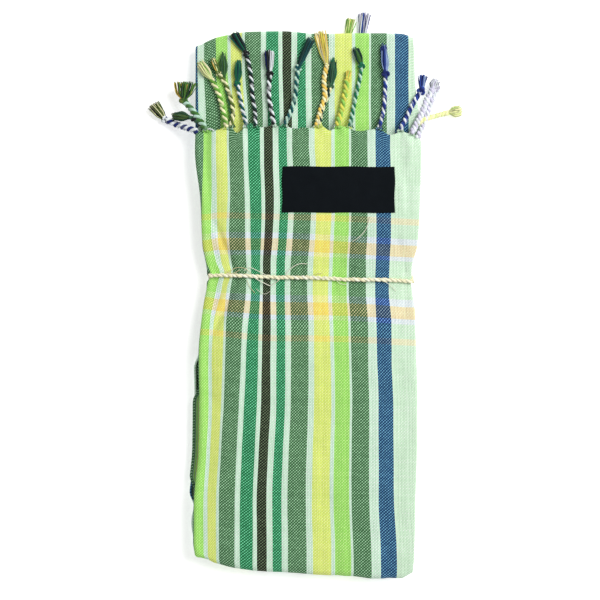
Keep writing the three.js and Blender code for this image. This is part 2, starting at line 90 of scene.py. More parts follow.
SIDES = [
    (-222, -79.0, 80.5), (-214, -80.5, 83.0), (-206, -83.0, 84.3), (-198, -86.6, 84.8),
    (-188, -88.0, 85.2), (-160, -87.6, 85.6), (-115, -83.6, 87.0), (-78, -83.2, 87.2),
    (-45, -83.8, 86.4), (-8, -80.6, 85.4), (2, -79.0, 84.0), (10, -77.6, 83.2),
    (24, -77.6, 83.2), (32, -78.9, 84.8), (42, -80.8, 87.4), (78, -82.4, 89.4),
    (116, -86.6, 90.4), (136, -86.2, 89.6), (170, -86.2, 86.0), (195, -86.2, 85.4),
    (206, -80.5, 83.6), (212, -70.0, 82.0),
]
# packet, side, from, to, out
STEPS = [
    (2, "left", -230, 130, -1.2), (2, "right", -230, 130, -0.8),
    (3, "left", -152, -66, 6.0), (3, "left", -190, -160, 1.8),
    (3, "left", -40, 125, -0.8), (3, "right", -150, 60, -0.9),
    (4, "left", -165, -40, 4.4), (4, "right", -190, 20, -1.6),
]
ENDS_BY = ("x", "front", "back", "low1", "low2", "top")
ENDS = [
    (-90, 130.0, 140.6, -196.5, -195.5, 194.0), (-82, 132.5, 140.9, -201.2, -199.5, 199.5),
    (-70, 134.5, 141.2, -207.2, -206.0, 206.0), (-47, 136.8, 141.4, -211.0, -209.5, 210.2),
    (-20, 136.2, 141.3, -212.9, -211.5, 210.6), (8, 136.6, 141.2, -214.9, -213.5, 208.6),
    (35, 136.8, 141.3, -215.7, -214.5, 209.0), (57, 135.0, 141.4, -217.8, -216.0, 209.0),
    (76, 131.8, 141.2, -217.4, -216.2, 208.6), (85, 127.0, 140.9, -212.5, -212.0, 205.0),
    (92, 123.0, 140.6, -207.5, -207.0, 197.0),
]


def mix(a, b, t):
    return a + (b - a) * t


def soft(t):
    t = np.clip(t, 0.0, 1.0)
    return t * t * (3 - 2 * t)


def curve_of(xs, vs):
    """A smooth curve through points that never runs past its neighbours."""
    xs, vs = np.asarray(xs, float), np.asarray(vs, float)
    n = len(xs)
    d = np.diff(vs) / np.diff(xs)
    m = np.zeros(n)
    m[0], m[-1] = d[0], d[-1]
    for i in range(1, n - 1):
        m[i] = 0.0 if d[i - 1] * d[i] <= 0 else 2 * d[i - 1] * d[i] / (d[i - 1] + d[i])

    def at(x):
        x = np.clip(np.asarray(x, float), xs[0], xs[-1])
        i = np.clip(np.searchsorted(xs, x, side="right") - 1, 0, n - 2)
        h = xs[i + 1] - xs[i]
        t = (x - xs[i]) / h
        return (vs[i] * (2 * t**3 - 3 * t**2 + 1) + vs[i + 1] * (3 * t**2 - 2 * t**3)
                + m[i] * h * (t**3 - 2 * t**2 + t) + m[i + 1] * h * (t**3 - t**2))

    return at


def column(rows, names, by, key):
    return curve_of([r[names.index(by)] for r in rows], [r[names.index(key)] for r in rows])


FACE = [column(HEIGHTS, HEIGHTS_BY, "y", k) for k in ("z0", "z1", "z2", "z3", "z4")]
SIDE = {k: column(SIDES, SIDES_BY, "y", k) for k in ("left", "right")}
END = {k: column(ENDS, ENDS_BY, "x", k) for k in ("front", "back", "low1", "low2", "top")}


def side_of(packet, which, y):
    away = -1 if which == "left" else 1
    x = SIDE[which](y)
    for p, s, lo, hi, out in STEPS:
        if p == packet and s == which:
            ease = min(14.0, (hi - lo) / 2)
            x = x + away * out * soft((y - lo) / ease) * soft((hi - y) / ease)
    return x


# a is the face that shows on the front flap, b the other
PACKET = {
    1: (lambda y: FACE[4](y), lambda y: FACE[3](y) + HALF_GAP),
    2: (lambda y: FACE[2](y) + HALF_GAP, lambda y: FACE[3](y) - HALF_GAP),
    3: (lambda y: FACE[2](y) - HALF_GAP, lambda y: FACE[1](y) + HALF_GAP),
    4: (lambda y: FACE[0](y), lambda y: FACE[1](y) - HALF_GAP),
}
FOLD = {"F1": (1, 2, "low1", -1), "M": (2, 3, "top", 1), "F3": (3, 4, "low2", -1)}


def thick(p, y):
    return np.abs(PACKET[p][0](y) - PACKET[p][1](y))


def fold_centre(fold, x):
    upper, _, key, way = FOLD[fold]
    y = END[key](x)
    return y - way * (thick(upper, y) + HALF_GAP)


RUN = {
    1: (lambda x: END["front"](x), lambda x: fold_centre("F1", x)),
    2: (lambda x: fold_centre("F1", x), lambda x: fold_centre("M", x)),
    3: (lambda x: fold_centre("M", x), lambda x: fold_centre("F3", x)),
    4: (lambda x: fold_centre("F3", x), lambda x: END["back"](x)),
}


def on_packet(p, t, u, m, in_left, in_right):
    y_mid = mix(RUN[p][0](0.0), RUN[p][1](0.0), t)
    guess = mix(side_of(p, "left", y_mid), side_of(p, "right", y_mid), u)
    y = mix(RUN[p][0](guess), RUN[p][1](guess), t)
    x = mix(side_of(p, "left", y) + in_left, side_of(p, "right", y) - in_right, u)
    return np.stack([x, y, mix(PACKET[p][1](y), PACKET[p][0](y), m)], -1)


def on_fold(fold, turn, u, m, in_left, in_right):
    upper, lower, _, way = FOLD[fold]
    out = m if way < 0 else 1 - m
    top = on_packet(upper, 1.0, u, m, in_left, in_right)
    low = on_packet(lower, 0.0, u, m, in_left, in_right)
    angle = (0.5 - turn) * math.pi
    reach = mix(HALF_GAP, thick(upper, top[..., 1]) + HALF_GAP, out)
    p = mix(top, low, turn)
    p[..., 1] = mix(top[..., 1], low[..., 1], turn) + way * reach * math.cos(angle)
    p[..., 2] = (top[..., 2] + low[..., 2]) / 2 + (top[..., 2] - low[..., 2]) / 2 * math.sin(angle)
    return p


def at_stop(stop, u, m, in_left, in_right):
    on, share = stop
    u, m = np.broadcast_arrays(np.asarray(u, float), np.asarray(m, float))
    if on in FOLD:
        return on_fold(on, share, u, m, in_left, in_right)
    return on_packet(on, share, u, m, in_left, in_right)


def share_at(p, y):
    return float(np.clip((y - RUN[p][0](0.0)) / (RUN[p][1](0.0) - RUN[p][0](0.0)), 0, 1))


def walk(*legs):
    """Stops along the folded path: legs of (packet or fold, from share, to share, steps)."""
    stops = []
    for on, a, b, steps in legs:
        for i in range(steps + 1):
            if i or not stops:
                stops.append((on, mix(a, b, i / steps)))
    return stops


# ------------------------------------------------------------------ noise with a fixed seed
def ripple(x, y, seed, size, octaves=3):
    """A smooth uneven field, about -1 to 1, of waves of about that size in mm."""
    rng = np.random.RandomState(seed)
    total = np.zeros(np.broadcast(x, y).shape)
    weight = 0.0
    for k in range(octaves):
        for _ in range(4):
            a = rng.uniform(0, 2 * math.pi)
            f = 2 * math.pi / (size * rng.uniform(0.75, 1.3) / (1.8**k))
            phase = rng.uniform(0, 2 * math.pi)
            total = total + 0.6**k * np.sin(f * (x * math.cos(a) + y * math.sin(a)) + phase)
        weight += 0.6**k * 2.0
    return total / weight


# ------------------------------------------------------------------ the stripes
def lin(r, g, b):
    f = lambda c: c / 12.92 if c <= 0.04045 else ((c + 0.055) / 1.055) ** 2.4
    return np.array([f(r / 255), f(g / 255), f(b / 255)])


# Yarn colours: the warp as it looks between the weft's dots, and those dots.
YARNS = {
    #            warp                        dots of weft
    "sage":    (lin(45, 94, 50), lin(176, 224, 180)),
    "emerald": (lin(6, 104, 56), lin(128, 234, 178)),
    "black":   (lin(2, 6, 1), lin(120, 140, 106)),
    "mint":    (lin(194, 232, 200), lin(246, 255, 248)),
    "pale":    (lin(202, 236, 201), lin(234, 253, 232)),
    "yellow":  (lin(214, 232, 104), lin(244, 254, 176)),
    "lime":    (lin(148, 217, 92), lin(208, 255, 160)),
    "blue":    (lin(2, 44, 94), lin(122, 188, 216)),
}
# The order of the warp's stripes from the middle of the black one, in view steps.
STRIPES_LEFT = [("black", 4.4), ("mint", 4.2), ("emerald", 11.5), ("mint", 4.6), ("sage", 15.8),
                ("mint", 3), ("yellow", 10), ("mint", 4), ("lime", 11), ("sage", 10),
                ("mint", 8), ("blue", 14)]
STRIPES_RIGHT = [("black", 4.0), ("mint", 5.7), ("emerald", 8.4), ("mint", 5.8), ("sage", 17),
                 ("mint", 5.9), ("yellow", 17.0), ("mint", 3.2), ("lime", 14.7), ("mint", 2.3),
                 ("sage", 17.2), ("mint", 8.3), ("blue", 15)]
U_LOW, U_HIGH = -110.0, 130.0  # the ramp's range, in mm


def stripe_edges():
    """(where it starts in mm, yarn) for every stripe, left to right."""
    rows, at = [], 0.0
    for name, width in STRIPES_LEFT:
        at -= width
        rows.insert(0, (at * STEP, name))
    rows.insert(0, (U_LOW, "pale"))
    at = STRIPES_RIGHT[0][1]
    for name, width in STRIPES_RIGHT[1:]:
        rows.append((at * STEP, name))
        at += width
    rows.append((at * STEP, "pale"))
    return rows


CHART = stripe_edges()


def yarn_at(u):
    name = CHART[0][1]
    for start, yarn in CHART:
        if u >= start:
            name = yarn
    return name


# Where the stripes run on the front flap: chart position, then its place at each height.
FLAP_ROWS = [112, 145, 160, 200, 240, 265, 290, 330, 400, 450, 500, 550, 584]
FLAP_K = [268.7, 268.7, 268.7, 269.7, 268.2, 266.2, 266.2, 266.4, 266.2, 263.8, 261.8, 262.0, 262.0]
FLAP_EMERALD = [-21.5, -20.8, -20.5, -19.7, -17.5, -15, -15, -18.8, -21.8, -21.8, -21.6, -22.2, -22.2]
FLAP_SAGE = [39, 39, 40, 40.5, 40.5, 40.5, 40, 41, 40.8, 41.6, 42.7, 43.2, 43.2]
FLAP_YELLOW = [330.5, 330.5, 330.5, 331, 329.5, 328.5, 327.5, 329, 330.5, 329.5, 329, 330.5, 330.5]
LEFT_ROWS = [150, 190, 232, 262, 272, 290, 325, 360, 400, 450, 500, 545]
RIGHT_ROWS = [150, 200, 232, 262, 290, 325, 360, 400, 450, 500, 545, 565]
FLAP_ANCHORS = [
    (-68.5, curve_of(LEFT_ROWS, [203.0, 201.5, 200.0, 205.0, 209.0, 205.0, 199.0, 197.5, 197.5, 195.5, 192.5, 192.5])),
    (-57.5, curve_of(LEFT_ROWS, [211.5, 211.5, 210.5, 215.5, 219.5, 215.5, 209.5, 208.5, 208.5, 206.5, 203.5, 203.5])),
    (-53.5, curve_of(LEFT_ROWS, [216.2, 217.0, 217.8, 221.5, 224.5, 221.5, 213.5, 212.0, 212.3, 210.6, 208.0, 208.0])),
    (-43.5, curve_of(LEFT_ROWS, [226.8, 227.6, 226.0, 228.5, 230.5, 225.5, 223.5, 222.3, 221.0, 218.4, 215.4, 215.6])),
    (-40.5, curve_of(LEFT_ROWS, [228.4, 229.6, 228.5, 230.5, 232.0, 229.5, 225.5, 224.5, 223.5, 220.5, 218.5, 218.5])),
    (-19.5, curve_of(FLAP_ROWS, np.add(FLAP_K, FLAP_EMERALD))),
    (0.0, curve_of(FLAP_ROWS, FLAP_K)),
    (40.9, curve_of(FLAP_ROWS, np.add(FLAP_K, FLAP_SAGE))),
    (63.9, curve_of(FLAP_ROWS, FLAP_YELLOW)),
    (101.1, curve_of(RIGHT_ROWS, [367.0, 367.0, 367.0, 365.5, 365.5, 367.5, 367.5, 368.5, 368.5, 368.5, 370.5, 371.0])),
    (109.4, curve_of(RIGHT_ROWS, [374.5, 375.0, 375.5, 375.0, 374.5, 375.5, 376.0, 377.5, 377.5, 377.5, 379.5, 380.0])),
    (124.4, curve_of(RIGHT_ROWS, [389.5, 390.5, 390.5, 389.5, 388.5, 391.0, 391.0, 392.5, 393.0, 393.5, 396.0, 396.5])),
]
# On the middle fold they lean a little, lower down on its left.
MIDDLE_ANCHORS = [(c, (lambda k, d: (lambda y: k + d * soft((np.asarray(y, float) - 66) / 54)))(k, d)) for c, k, d in [
    (-86.5, 197.5, 0.2), (-78.5, 202.6, 1.4), (-68.5, 214.4, 5.0), (-57.5, 227.2, 3.4), (-53.5, 230.6, 2.6), (-40.5, 244.0, 3.4),
    (-19.5, 266.0, 1.8), (0.0, 287.0, 0.8), (40.9, 327.6, 0.0), (63.9, 351.5, 0.0), (101.1, 386.5, 0.0), (109.4, 394.5, 0.0),
    (124.4, 408.5, 0.0)]]
# Below, the stripes run the other way round.
UNDER_ANCHORS = [(c, (lambda k: (lambda y: k + 2.0 * np.sin(np.asarray(y, float) / 90.0)))(k)) for c, k in [
    (-120.0, 422.0), (-57.5, 356.0), (0.0, 297.5), (40.9, 256.5), (63.4, 234.5), (124.4, 174.0)]]


def chart_at(anchors, x, y):
    """The chart position, in mm, of the point x, y of a face."""
    px, py = view_x(x), view_y(y)
    places = [f(py) for _, f in anchors]
    way = 1.0 if np.mean(places[-1]) > np.mean(places[0]) else -1.0
    u = anchors[0][0] + way * (px - places[0])
    for k in range(len(anchors) - 1):
        t = (px - places[k]) / (places[k + 1] - places[k])
        u = np.where(way * (px - places[k]) >= 0, mix(anchors[k][0], anchors[k + 1][0], t), u)
    u = np.where(way * (px - places[-1]) >= 0, anchors[-1][0] + way * (px - places[-1]), u)
    return u * STEP


# The weft's bands: distance from the fringed edge, in mm, and where their middles run.
BAND_X = [190, 207, 219, 273, 321, 372, 404, 425]
BAND_LINES = [
    (67.0, [216.5, 216, 214.5, 216, 217, 219, 221, 222]),
    (88.0, [245.5, 244.5, 242.5, 242.5, 245, 248, 250, 251]),
    (112.3, [275, 275, 275, 275.5, 276.5, 278.5, 280.5, 281]),
    (136.6, [299.5, 300.5, 302.5, 306, 306.5, 308.5, 311, 312]),
    (158.0, [331.5, 332, 333, 338, 338.5, 340, 342, 343]),
]


def flap_v(x, y):
    """Distance along the cloth from the flap's fringed edge, in mm."""
    px, py = view_x(x), view_y(y)
    lines = [(v, curve_of(BAND_X, ys)(px)) for v, ys in BAND_LINES]
    first, last = lines[0], lines[-1]
    v = first[0] - (first[1] - py) * STEP
    for (v0, y0), (v1, y1) in zip(lines, lines[1:]):
        v = np.where(py >= y0, mix(v0, v1, (py - y0) / (y1 - y0)), v)
    return np.where(py >= last[1], last[0] + (py - last[1]) * STEP, v)


# ------------------------------------------------------------------ creases
# from x, y, to x, y in the view's frame, half width in mm, depth in mm (below 0: a ridge)
FLAP_CREASES = [
    (213, 220, 237, 279, 2.6, 1.15), (237, 279, 211, 336, 2.6, 1.1), (224, 236, 246, 279, 2.4, -0.55),
    (246, 281, 226, 322, 2.4, -0.45), (205, 246, 222, 278, 2.8, -0.6), (222, 280, 205, 312, 2.8, -0.5),
    (303, 232, 302, 279, 1.9, 0.75), (302, 282, 297, 322, 1.8, 0.4), (262, 252, 259, 279, 2.0, 0.45),
    (259, 281, 266, 315, 2.2, 0.35), (283, 258, 284, 280, 1.8, -0.35), (341, 244, 337, 281, 2.2, 0.45),
    (335, 284, 339, 322, 2.2, 0.4), (372, 246, 374, 282, 2.0, 0.3), (376, 285, 372, 316, 2.2, 0.35),
    (396, 232, 408, 282, 3.0, 0.42), (407, 285, 398, 332, 3.0, 0.45), (357, 262, 356, 282, 1.6, -0.3),
    (209, 345, 205, 470, 4.0, 0.3), (404, 340, 402, 470, 4.4, 0.3), (232, 350, 226, 480, 6.0, -0.22),
    (318, 352, 322, 540, 7.0, 0.22), (362, 372, 369, 560, 6.0, -0.2), (246, 420, 240, 560, 6.0, 0.2),
    (283, 360, 288, 500, 7.0, -0.2), (384, 530, 389, 585, 3.0, 0.45), (372, 540, 368, 585, 4.0, -0.3),
    (404, 548, 400, 585, 3.0, -0.25), (336, 548, 338, 584, 3.4, 0.25), (262, 545, 258, 576, 3.4, 0.22),
    (212, 530, 222, 572, 3.4, 0.3), (228, 140, 236, 205, 4.0, 0.25), (262, 150, 250, 222, 5.0, 0.2),
    (404, 140, 409, 214, 3.2, 0.35), (207, 140, 205, 212, 3.0, 0.3),
    (238, 134, 243, 150, 3.2, -0.7), (331, 133, 333, 150, 2.6, -0.45), (398, 138, 405, 186, 3.4, 0.5),
    (410, 150, 401, 206, 3.0, -0.4), (223, 130, 234, 158, 3.0, 0.45), (299, 131, 297, 158, 3.0, -0.35),
    (357, 134, 355, 156, 3.0, -0.35), (262, 130, 264, 160, 2.6, 0.3),
]
UNDER_CREASES = [
    (222, 214, 240, 279, 2.8, 1.0), (241, 284, 218, 344, 2.8, 0.9), (288, 232, 285, 280, 2.2, 0.6),
    (284, 284, 290, 330, 2.2, 0.5), (330, 226, 336, 280, 2.4, 0.7), (337, 284, 330, 340, 2.2, 0.5),
    (392, 222, 402, 280, 2.8, 0.8), (402, 284, 390, 338, 2.6, 0.8), (356, 250, 358, 280, 2.0, -0.4),
    (262, 252, 260, 280, 2.0, -0.4), (220, 360, 214, 520, 5.0, 0.3), (300, 380, 306, 560, 6.0, 0.24),
    (380, 360, 388, 540, 5.0, 0.26), (250, 470, 246, 574, 4.0, 0.3), (346, 500, 350, 580, 4.0, 0.3),
    (240, 130, 246, 200, 4.0, 0.3), (320, 124, 314, 200, 5.0, 0.26), (376, 128, 372, 196, 4.0, 0.3),
]
MIDDLE_CREASES = [
    (214, 42, 219, 120, 3.4, 0.35), (262, 34, 256, 112, 4.0, 0.25), (300, 34, 306, 100, 4.6, -0.25),
    (342, 36, 338, 112, 4.0, 0.28), (378, 36, 382, 112, 4.0, 0.26), (404, 40, 402, 116, 3.2, 0.35),
    (232, 36, 240, 96, 3.6, -0.22), (322, 30, 318, 70, 3.4, 0.25),
]


def creased(table, x, y):
    h = np.zeros(np.broadcast(x, y).shape)
    for x0, y0, x1, y1, width, depth in table:
        ax, ay, bx, by = row_x(x0), row_y(y0), row_x(x1), row_y(y1)
        dx, dy = bx - ax, by - ay
        length = math.hypot(dx, dy)
        t = ((x - ax) * dx + (y - ay) * dy) / length**2
        # a crease bows a little and dies away at both ends
        bow = 1.1 * np.sin(np.clip(t, 0, 1) * math.pi) * math.sin(ax * 1.7 + ay)
        d = ((x - ax) * dy - (y - ay) * dx) / length + bow
        end = soft((t + 0.16) / 0.34) * soft((1.16 - t) / 0.3)
        h = h - depth * np.exp(-((d / width) ** 2)) * end
    return h


# The twisted ends along the flap's edge pull it into scallops: where they start (view x),
# how far each pulls the edge out, and how deep its pucker is, in mm.
PULLS = [(207, 1.0, 0.6), (228.5, 2.4, 1.2), (246.4, 2.2, 1.2), (255.5, 1.8, 1.1), (274, 2.0, 1.1), (284.6, 1.8, 0.9),
         (318, 2.6, 1.2), (337, 2.0, 1.1), (349.8, 2.4, 1.2), (379, 2.6, 1.3), (400, 2.2, 1.2), (413, 1.4, 1.0)]


# The fringed edge in the view: it peaks at the twisted ends and sags between them.
EDGE = [(196, 132.5), (203, 131), (214, 130.6), (222, 128.6), (228.5, 125), (232.5, 128.6), (237, 133.2), (242, 130.6),
        (246.4, 125.4), (250, 124.2), (255.5, 124.4), (260, 128), (266, 127.6), (274, 125.4), (278.5, 127), (284, 124.6),
        (290, 128), (296, 129), (303, 127.8), (310, 128.4), (317.6, 124.6), (323, 127), (330, 131.2), (334, 128.4),
        (338, 125.2), (343, 127), (349.8, 128.4), (354, 131), (361, 131.6), (368, 130.4), (378, 129.4), (383, 132),
        (389, 135.2), (395, 134.2), (401, 131.4), (407, 133.4), (413, 134), (420, 138)]
edge_at = curve_of([a for a, _ in EDGE], [b for _, b in EDGE])


def pulled(x):
    """How far the edge is drawn out at x, past its plain line."""
    return row_y(edge_at(view_x(x))) - END["front"](x)


def puckers(x, y):
    edge = END["front"](x)
    away = np.clip((edge + 2 - y) / 17.0, 0, 1.4)
    h = np.zeros(np.broadcast(x, y).shape)
    for px, _, depth in PULLS:
        bx = row_x(px)
        spread = 1.25 + 2.2 * away
        line = bx + (x - bx) * 0.0
        h = h - depth * np.exp(-(((x - line) / spread) ** 2)) * (1 - soft(away))
        for s in (-1, 1):
            h = h + 0.45 * depth * np.exp(-(((x - bx - s * (2.4 + 5.0 * away)) / spread) ** 2)) * (1 - soft(away))
    return h


def twine_line(x, over):
    """Where the twine runs, over the flap (1) or under the bundle (-1), as a y for each x."""
    middle = float(SIDE["left"](WAIST_Y) + SIDE["right"](WAIST_Y)) / 2
    return WAIST_Y + TWINE_TILT * (x - middle) * over + 0.28 * np.sin(x * 0.11 + 1.0) + 0.12 * np.sin(x * 0.37)


def pinched(grid):
    """Draws the sides in where the twine goes round them."""
    x, y, z = grid[..., 0], grid[..., 1], grid[..., 2]
    middle = float(FACE[0](WAIST_Y) + FACE[4](WAIST_Y)) / 2
    over = np.sign(z - middle) * soft(np.abs(z - middle) / 6)
    groove = np.exp(-(((y - twine_line(x, over)) / 2.9) ** 2))
    left, right = SIDE["left"](y), SIDE["right"](y)
    out = grid.copy()
    out[..., 0] += groove * (4.3 * np.exp(-np.clip(x - left, 0, 90) / 4.6) - 0.9 * np.exp(-np.clip(right - x, 0, 90) / 3.0))
    return out


def flap_relief(x, y):
    slow = 0.42 * ripple(x, y, 11, 70.0, 2) + 0.16 * ripple(x, y, 12, 24.0, 2) + 0.06 * ripple(x, y, 13, 9.0, 2)
    # the flap slopes away towards its left fold
    shoulder = -3.1 * soft((SIDE["left"](y) + 24.0 - x) / 24.0) ** 1.4
    press = -0.6 * np.exp(-(((y - twine_line(x, 1)) / 1.9) ** 2))
    return slow + 1.25 * creased(FLAP_CREASES, x, y) + puckers(x, y) + shoulder + press


def middle_relief(x, y):
    return 0.22 * ripple(x, y, 21, 52.0, 2) + 0.1 * ripple(x, y, 22, 20.0, 2) + creased(MIDDLE_CREASES, x, y)


def under_relief(x, y):
    press = -0.6 * np.exp(-(((y - twine_line(x, -1)) / 1.9) ** 2))
    return 0.1 * ripple(x, y, 32, 22.0, 2) + creased(UNDER_CREASES, x, y) + press


# ------------------------------------------------------------------ meshes
def make_mesh(name, verts, faces, material, attributes=None, colours=None):
    mesh = bpy.data.meshes.new(name)
    mesh.from_pydata((np.asarray(verts, float) * MM).tolist(), [], faces)
    mesh.polygons.foreach_set("use_smooth", np.ones(len(mesh.polygons), bool))
    for key, data in (attributes or {}).items():
        a = mesh.attributes.new(key, "FLOAT_VECTOR", "POINT")
        a.data.foreach_set("vector", np.asarray(data, np.float32).ravel())
    for key, data in (colours or {}).items():
        data = np.asarray(data, np.float32)
        a = mesh.color_attributes.new(key, "FLOAT_COLOR", "POINT")
        a.data.foreach_set("color", np.concatenate([data, np.ones((len(data), 1), np.float32)], 1).ravel())
    mesh.materials.append(material)
    mesh.update()
    mesh.validate()
    o = bpy.data.objects.new(name, mesh)
    scene.collection.objects.link(o)
    return o


def grid_normals(p):
    ds = np.gradient(p, axis=0)
    dw = np.gradient(p, axis=1)
    n = np.cross(ds, dw)
    return n / np.maximum(np.linalg.norm(n, axis=-1, keepdims=True), 1e-9)


def grid_faces(rows, cols, base=0, flip=False):
    i = np.arange(rows - 1)[:, None] * cols + np.arange(cols - 1)[None, :] + base
    quads = np.stack([i, i + 1, i + cols + 1, i + cols], -1).reshape(-1, 4)
    return quads[:, ::-1] if flip else quads


def shell(name, grid, normals, uv, material, thickness=CLOTH):
    """A thin closed sheet: the grid, its copy set back along the normals, and the rim."""
    rows, cols = grid.shape[:2]
    count = rows * cols
    outer, inner = grid.reshape(-1, 3), (grid - normals * thickness).reshape(-1, 3)
    # which way the quads face, against the normals
    a, b, c = outer[0], outer[1], outer[cols]
    flip = np.dot(np.cross(b - a, c - a), normals.reshape(-1, 3)[0]) > 0
    faces = [grid_faces(rows, cols, 0, not flip), grid_faces(rows, cols, count, flip)]
    edge = ([r * cols for r in range(rows)][:-1]
            + [(rows - 1) * cols + k for k in range(cols)][:-1]
            + [r * cols + cols - 1 for r in range(rows - 1, 0, -1)]
            + [k for k in range(cols - 1, 0, -1)])
    edge = np.array(edge)
    nxt = np.roll(edge, -1)
    rim = np.stack([edge, nxt, nxt + count, edge + count], -1)
    # the rim's way round follows the outer faces
    q = faces[0][0].tolist()
    pair = (int(edge[0]), int(nxt[0]))
    used = any((q[k], q[(k + 1) % 4]) == pair for k in range(4))
    faces.append(rim[:, ::-1] if used else rim)
    return make_mesh(name, np.concatenate([outer, inner]), np.concatenate(faces).tolist(), material,
                     {"cloth": np.concatenate([uv.reshape(-1, 3), uv.reshape(-1, 3)])})


def arc_along(p, axis):
    step = np.linalg.norm(np.diff(p, axis=axis), axis=-1)
    zero = np.zeros_like(np.take(step, [0], axis=axis))
    return np.concatenate([zero, np.cumsum(step, axis=axis)], axis=axis)


LEFT_ROUND = [0.10, 0.2, 0.32, 0.45, 0.58, 0.7, 0.8, 0.88, 0.94, 0.98]


def section(across, spine_lip=0.10, loop=0.34):
    """One ring of a stretch: (share across, share of the thickness, inset left, inset right).
    Round the left side it wraps the whole packet; on the right it turns in, a loop of one ply."""
    u, m, il, ir = [], [], [], []
    for k in LEFT_ROUND:
        mk = max(k, spine_lip)
        u.append(0.0), m.append(mk), ir.append(0.0)
        il.append(EDGE_ROUND * (1 - math.sqrt(max(0.0, 1 - (2 * mk - 1) ** 2))))
    for k in range(across + 1):
        s = k / across
        u.append(s), m.append(1.0), il.append(EDGE_ROUND), ir.append(1.1)
    for k in range(1, 9):
        a = math.pi * k / 8
        u.append(1.0), m.append(1 - loop / 2 + loop / 2 * math.cos(a)), il.append(0.0)
        ir.append(1.1 * (1 - math.sin(a)) + 0.15)
    for inward in (2.6, 4.6):
        u.append(1.0), m.append(1 - loop), il.append(0.0), ir.append(inward)
    return np.array(u), np.array(m), np.array(il), np.array(ir)


ACROSS = 112
N_LEFT = len(LEFT_ROUND)


def stretch(stops, shows_a, across=ACROSS):
    u, m, il, ir = section(across)
    far = m if shows_a else 1 - m
    return np.stack([at_stop(s, u, far, il, ir) for s in stops])


def outward(grid, shows):
    """Normals that point out of the bundle: shows is +1 where the first rows face up."""
    n = grid_normals(grid)
    mid = n[2, n.shape[1] // 2, 2]
    return n if mid * shows > 0 else -n


def face_u(grid, anchors, rows_used=None):
    """Chart position on a grid: by the anchors on the face, by arc length round its sides."""
    arc = arc_along(grid, 1)
    first, last = N_LEFT, N_LEFT + ACROSS
    x, y = grid[..., 0], grid[..., 1]
    u = chart_at(anchors, x, y)
    way = np.sign(u[:, last - 5] - u[:, first + 5])[:, None]
    u[:, :first] = u[:, first:first + 1] - way * (arc[:, first:first + 1] - arc[:, :first])
    u[:, last + 1:] = u[:, last:last + 1] + way * (arc[:, last + 1:] - arc[:, last:last + 1])
    return u


def smooth_rows(grid, normals, relief, weight):
    return grid + normals * (relief * weight)[..., None]


def side_weight(shape):
    """Relief dies away round the sides."""
    k = np.arange(shape[1])
    w = soft((k - N_LEFT + 1) / 5.0) * soft((N_LEFT + ACROSS + 1 - k) / 5.0)
    return np.broadcast_to(0.12 + 0.88 * w, shape)


